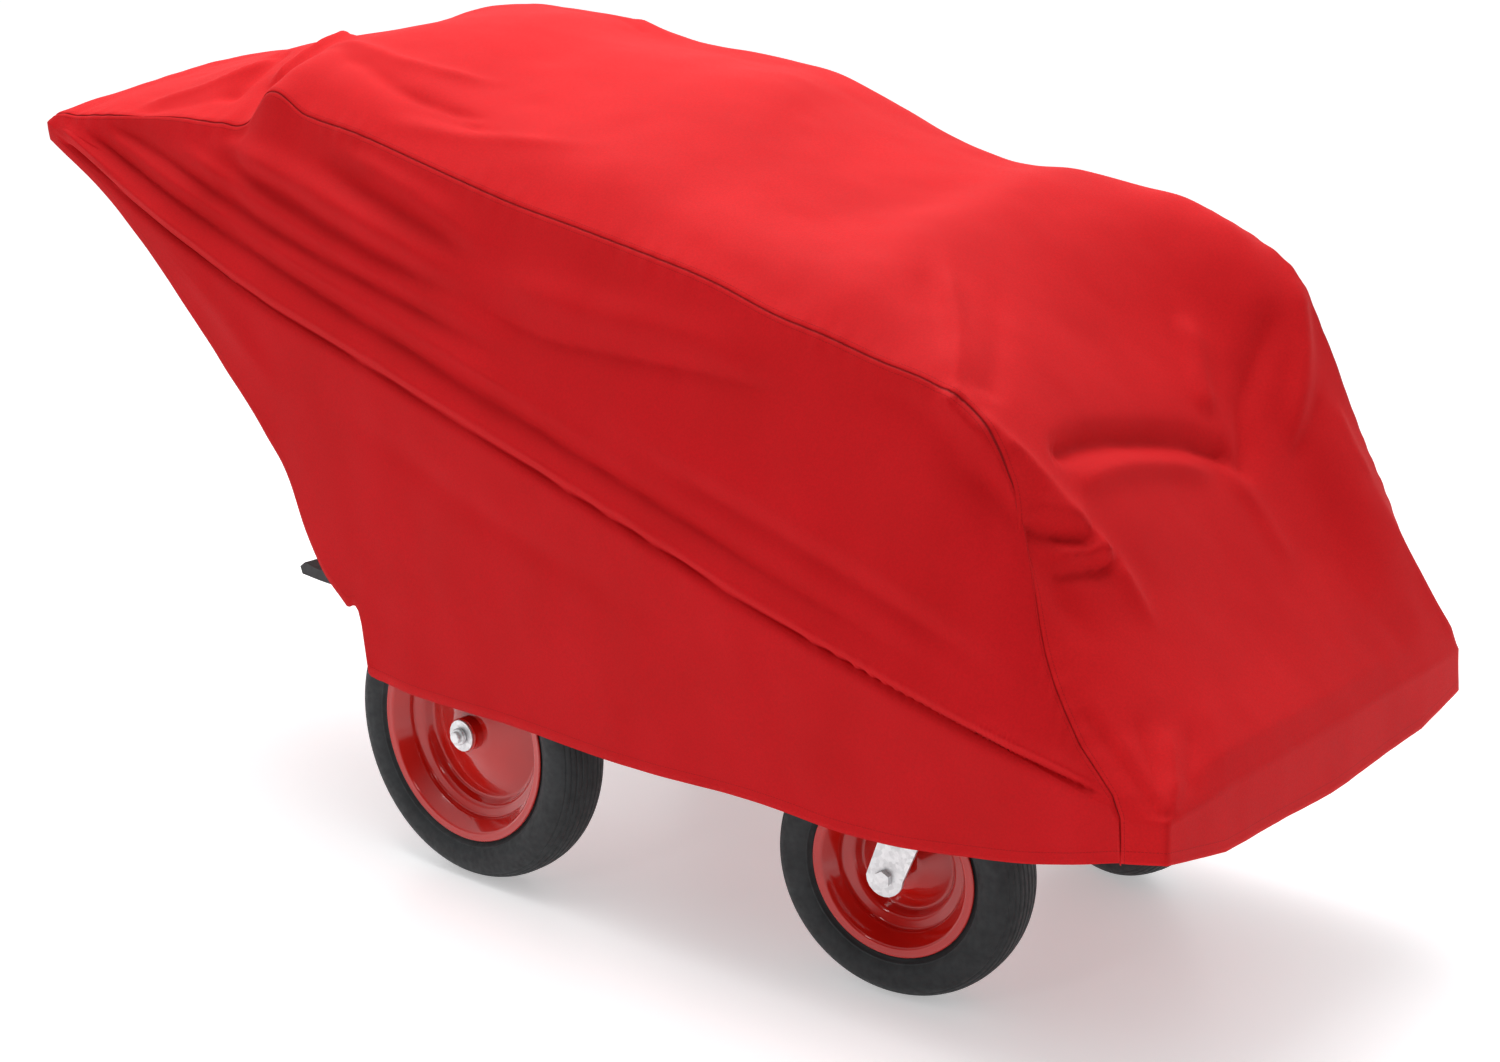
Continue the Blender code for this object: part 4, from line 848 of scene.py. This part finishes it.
# ---------------------------------------------------------------- the room
def studio():
    floor = bpy.data.meshes.new("floor")
    bm = bmesh.new()
    bmesh.ops.create_grid(bm, x_segments=1, y_segments=1, size=60.0)
    bm.to_mesh(floor)
    bm.free()
    made = bpy.data.objects.new("floor", floor)
    bpy.context.scene.collection.objects.link(made)
    s = Shader("studio_floor", (0.86, 0.852, 0.856), 0.4, Specular_IOR_Level=0.3,
               Emission_Color=(1.0, 0.99, 0.995, 1.0), Emission_Strength=0.40)
    s.roughness(s.ramp(s.noise(2.0, 2.0), 0.30, 0.42))
    floor.materials.append(s.material)

    # The room is a white cove, bright above and behind the buggy and dim on the near side,
    # with a low white skirting all round where the floor ends.
    world = bpy.data.worlds.new("studio")
    world.use_nodes = True
    tree = world.node_tree
    toward = tree.nodes.new("ShaderNodeTexCoord").outputs["Generated"]
    lean = tree.nodes.new("ShaderNodeVectorMath")
    lean.operation = "DOT_PRODUCT"
    lean.inputs[1].default_value = (-0.48, 0.57, 0.65)
    tree.links.new(toward, lean.inputs[0])
    glow = tree.nodes.new("ShaderNodeMapRange")
    glow.interpolation_type = "SMOOTHSTEP"
    for name, value in (("From Min", -0.35), ("From Max", 0.60), ("To Min", 0.06), ("To Max", 0.90)):
        glow.inputs[name].default_value = value
    tree.links.new(lean.outputs["Value"], glow.inputs["Value"])
    upward = tree.nodes.new("ShaderNodeSeparateXYZ")
    tree.links.new(toward, upward.inputs["Vector"])
    skirting = tree.nodes.new("ShaderNodeMapRange")
    skirting.interpolation_type = "SMOOTHSTEP"
    for name, value in (("From Min", 0.04), ("From Max", 0.15), ("To Min", 1.0), ("To Max", 0.0)):
        skirting.inputs[name].default_value = value
    tree.links.new(upward.outputs["Z"], skirting.inputs["Value"])
    brighter = tree.nodes.new("ShaderNodeMath")
    brighter.operation = "MAXIMUM"
    tree.links.new(glow.outputs["Result"], brighter.inputs[0])
    tree.links.new(skirting.outputs["Result"], brighter.inputs[1])
    background = tree.nodes["Background"]
    background.inputs["Color"].default_value = (0.98, 0.99, 1.0, 1.0)
    tree.links.new(brighter.outputs[0], background.inputs["Strength"])
    bpy.context.scene.world = world

    def softbox(name, at, aim, size, energy):
        light = bpy.data.lights.new(name, "AREA")
        light.shape = "RECTANGLE"
        light.size, light.size_y = size
        light.energy = energy
        lamp = bpy.data.objects.new(name, light)
        lamp.location = at
        lamp.rotation_euler = (Vector(aim) - Vector(at)).to_track_quat("-Z", "Y").to_euler()
        bpy.context.scene.collection.objects.link(lamp)

    softbox("overhead", (-0.5, 0.3, 3.5), (0.0, 0.0, 0.6), (3.0, 3.0), 108)
    softbox("glint", (0.6, -3.4, 2.3), (0.2, -0.3, 0.2), (0.30, 0.65), 7)


CAMERA_AT = (2.1288, -2.4391, 1.3531)
CAMERA_AZIMUTH, CAMERA_ELEVATION = 40.02, 15.85


def camera():
    data = bpy.data.cameras.new("camera")
    data.lens = 58.58
    data.sensor_width = 36.0
    made = bpy.data.objects.new("camera", data)
    made.location = CAMERA_AT
    made.rotation_euler = (radians(90 - CAMERA_ELEVATION), 0.0, radians(CAMERA_AZIMUTH))
    bpy.context.scene.collection.objects.link(made)
    bpy.context.scene.camera = made


# ---------------------------------------------------------------- assembly
bpy.context.scene.view_settings.view_transform = "Standard"
finish_nodes()
cover()
wheels()
studio()
camera()
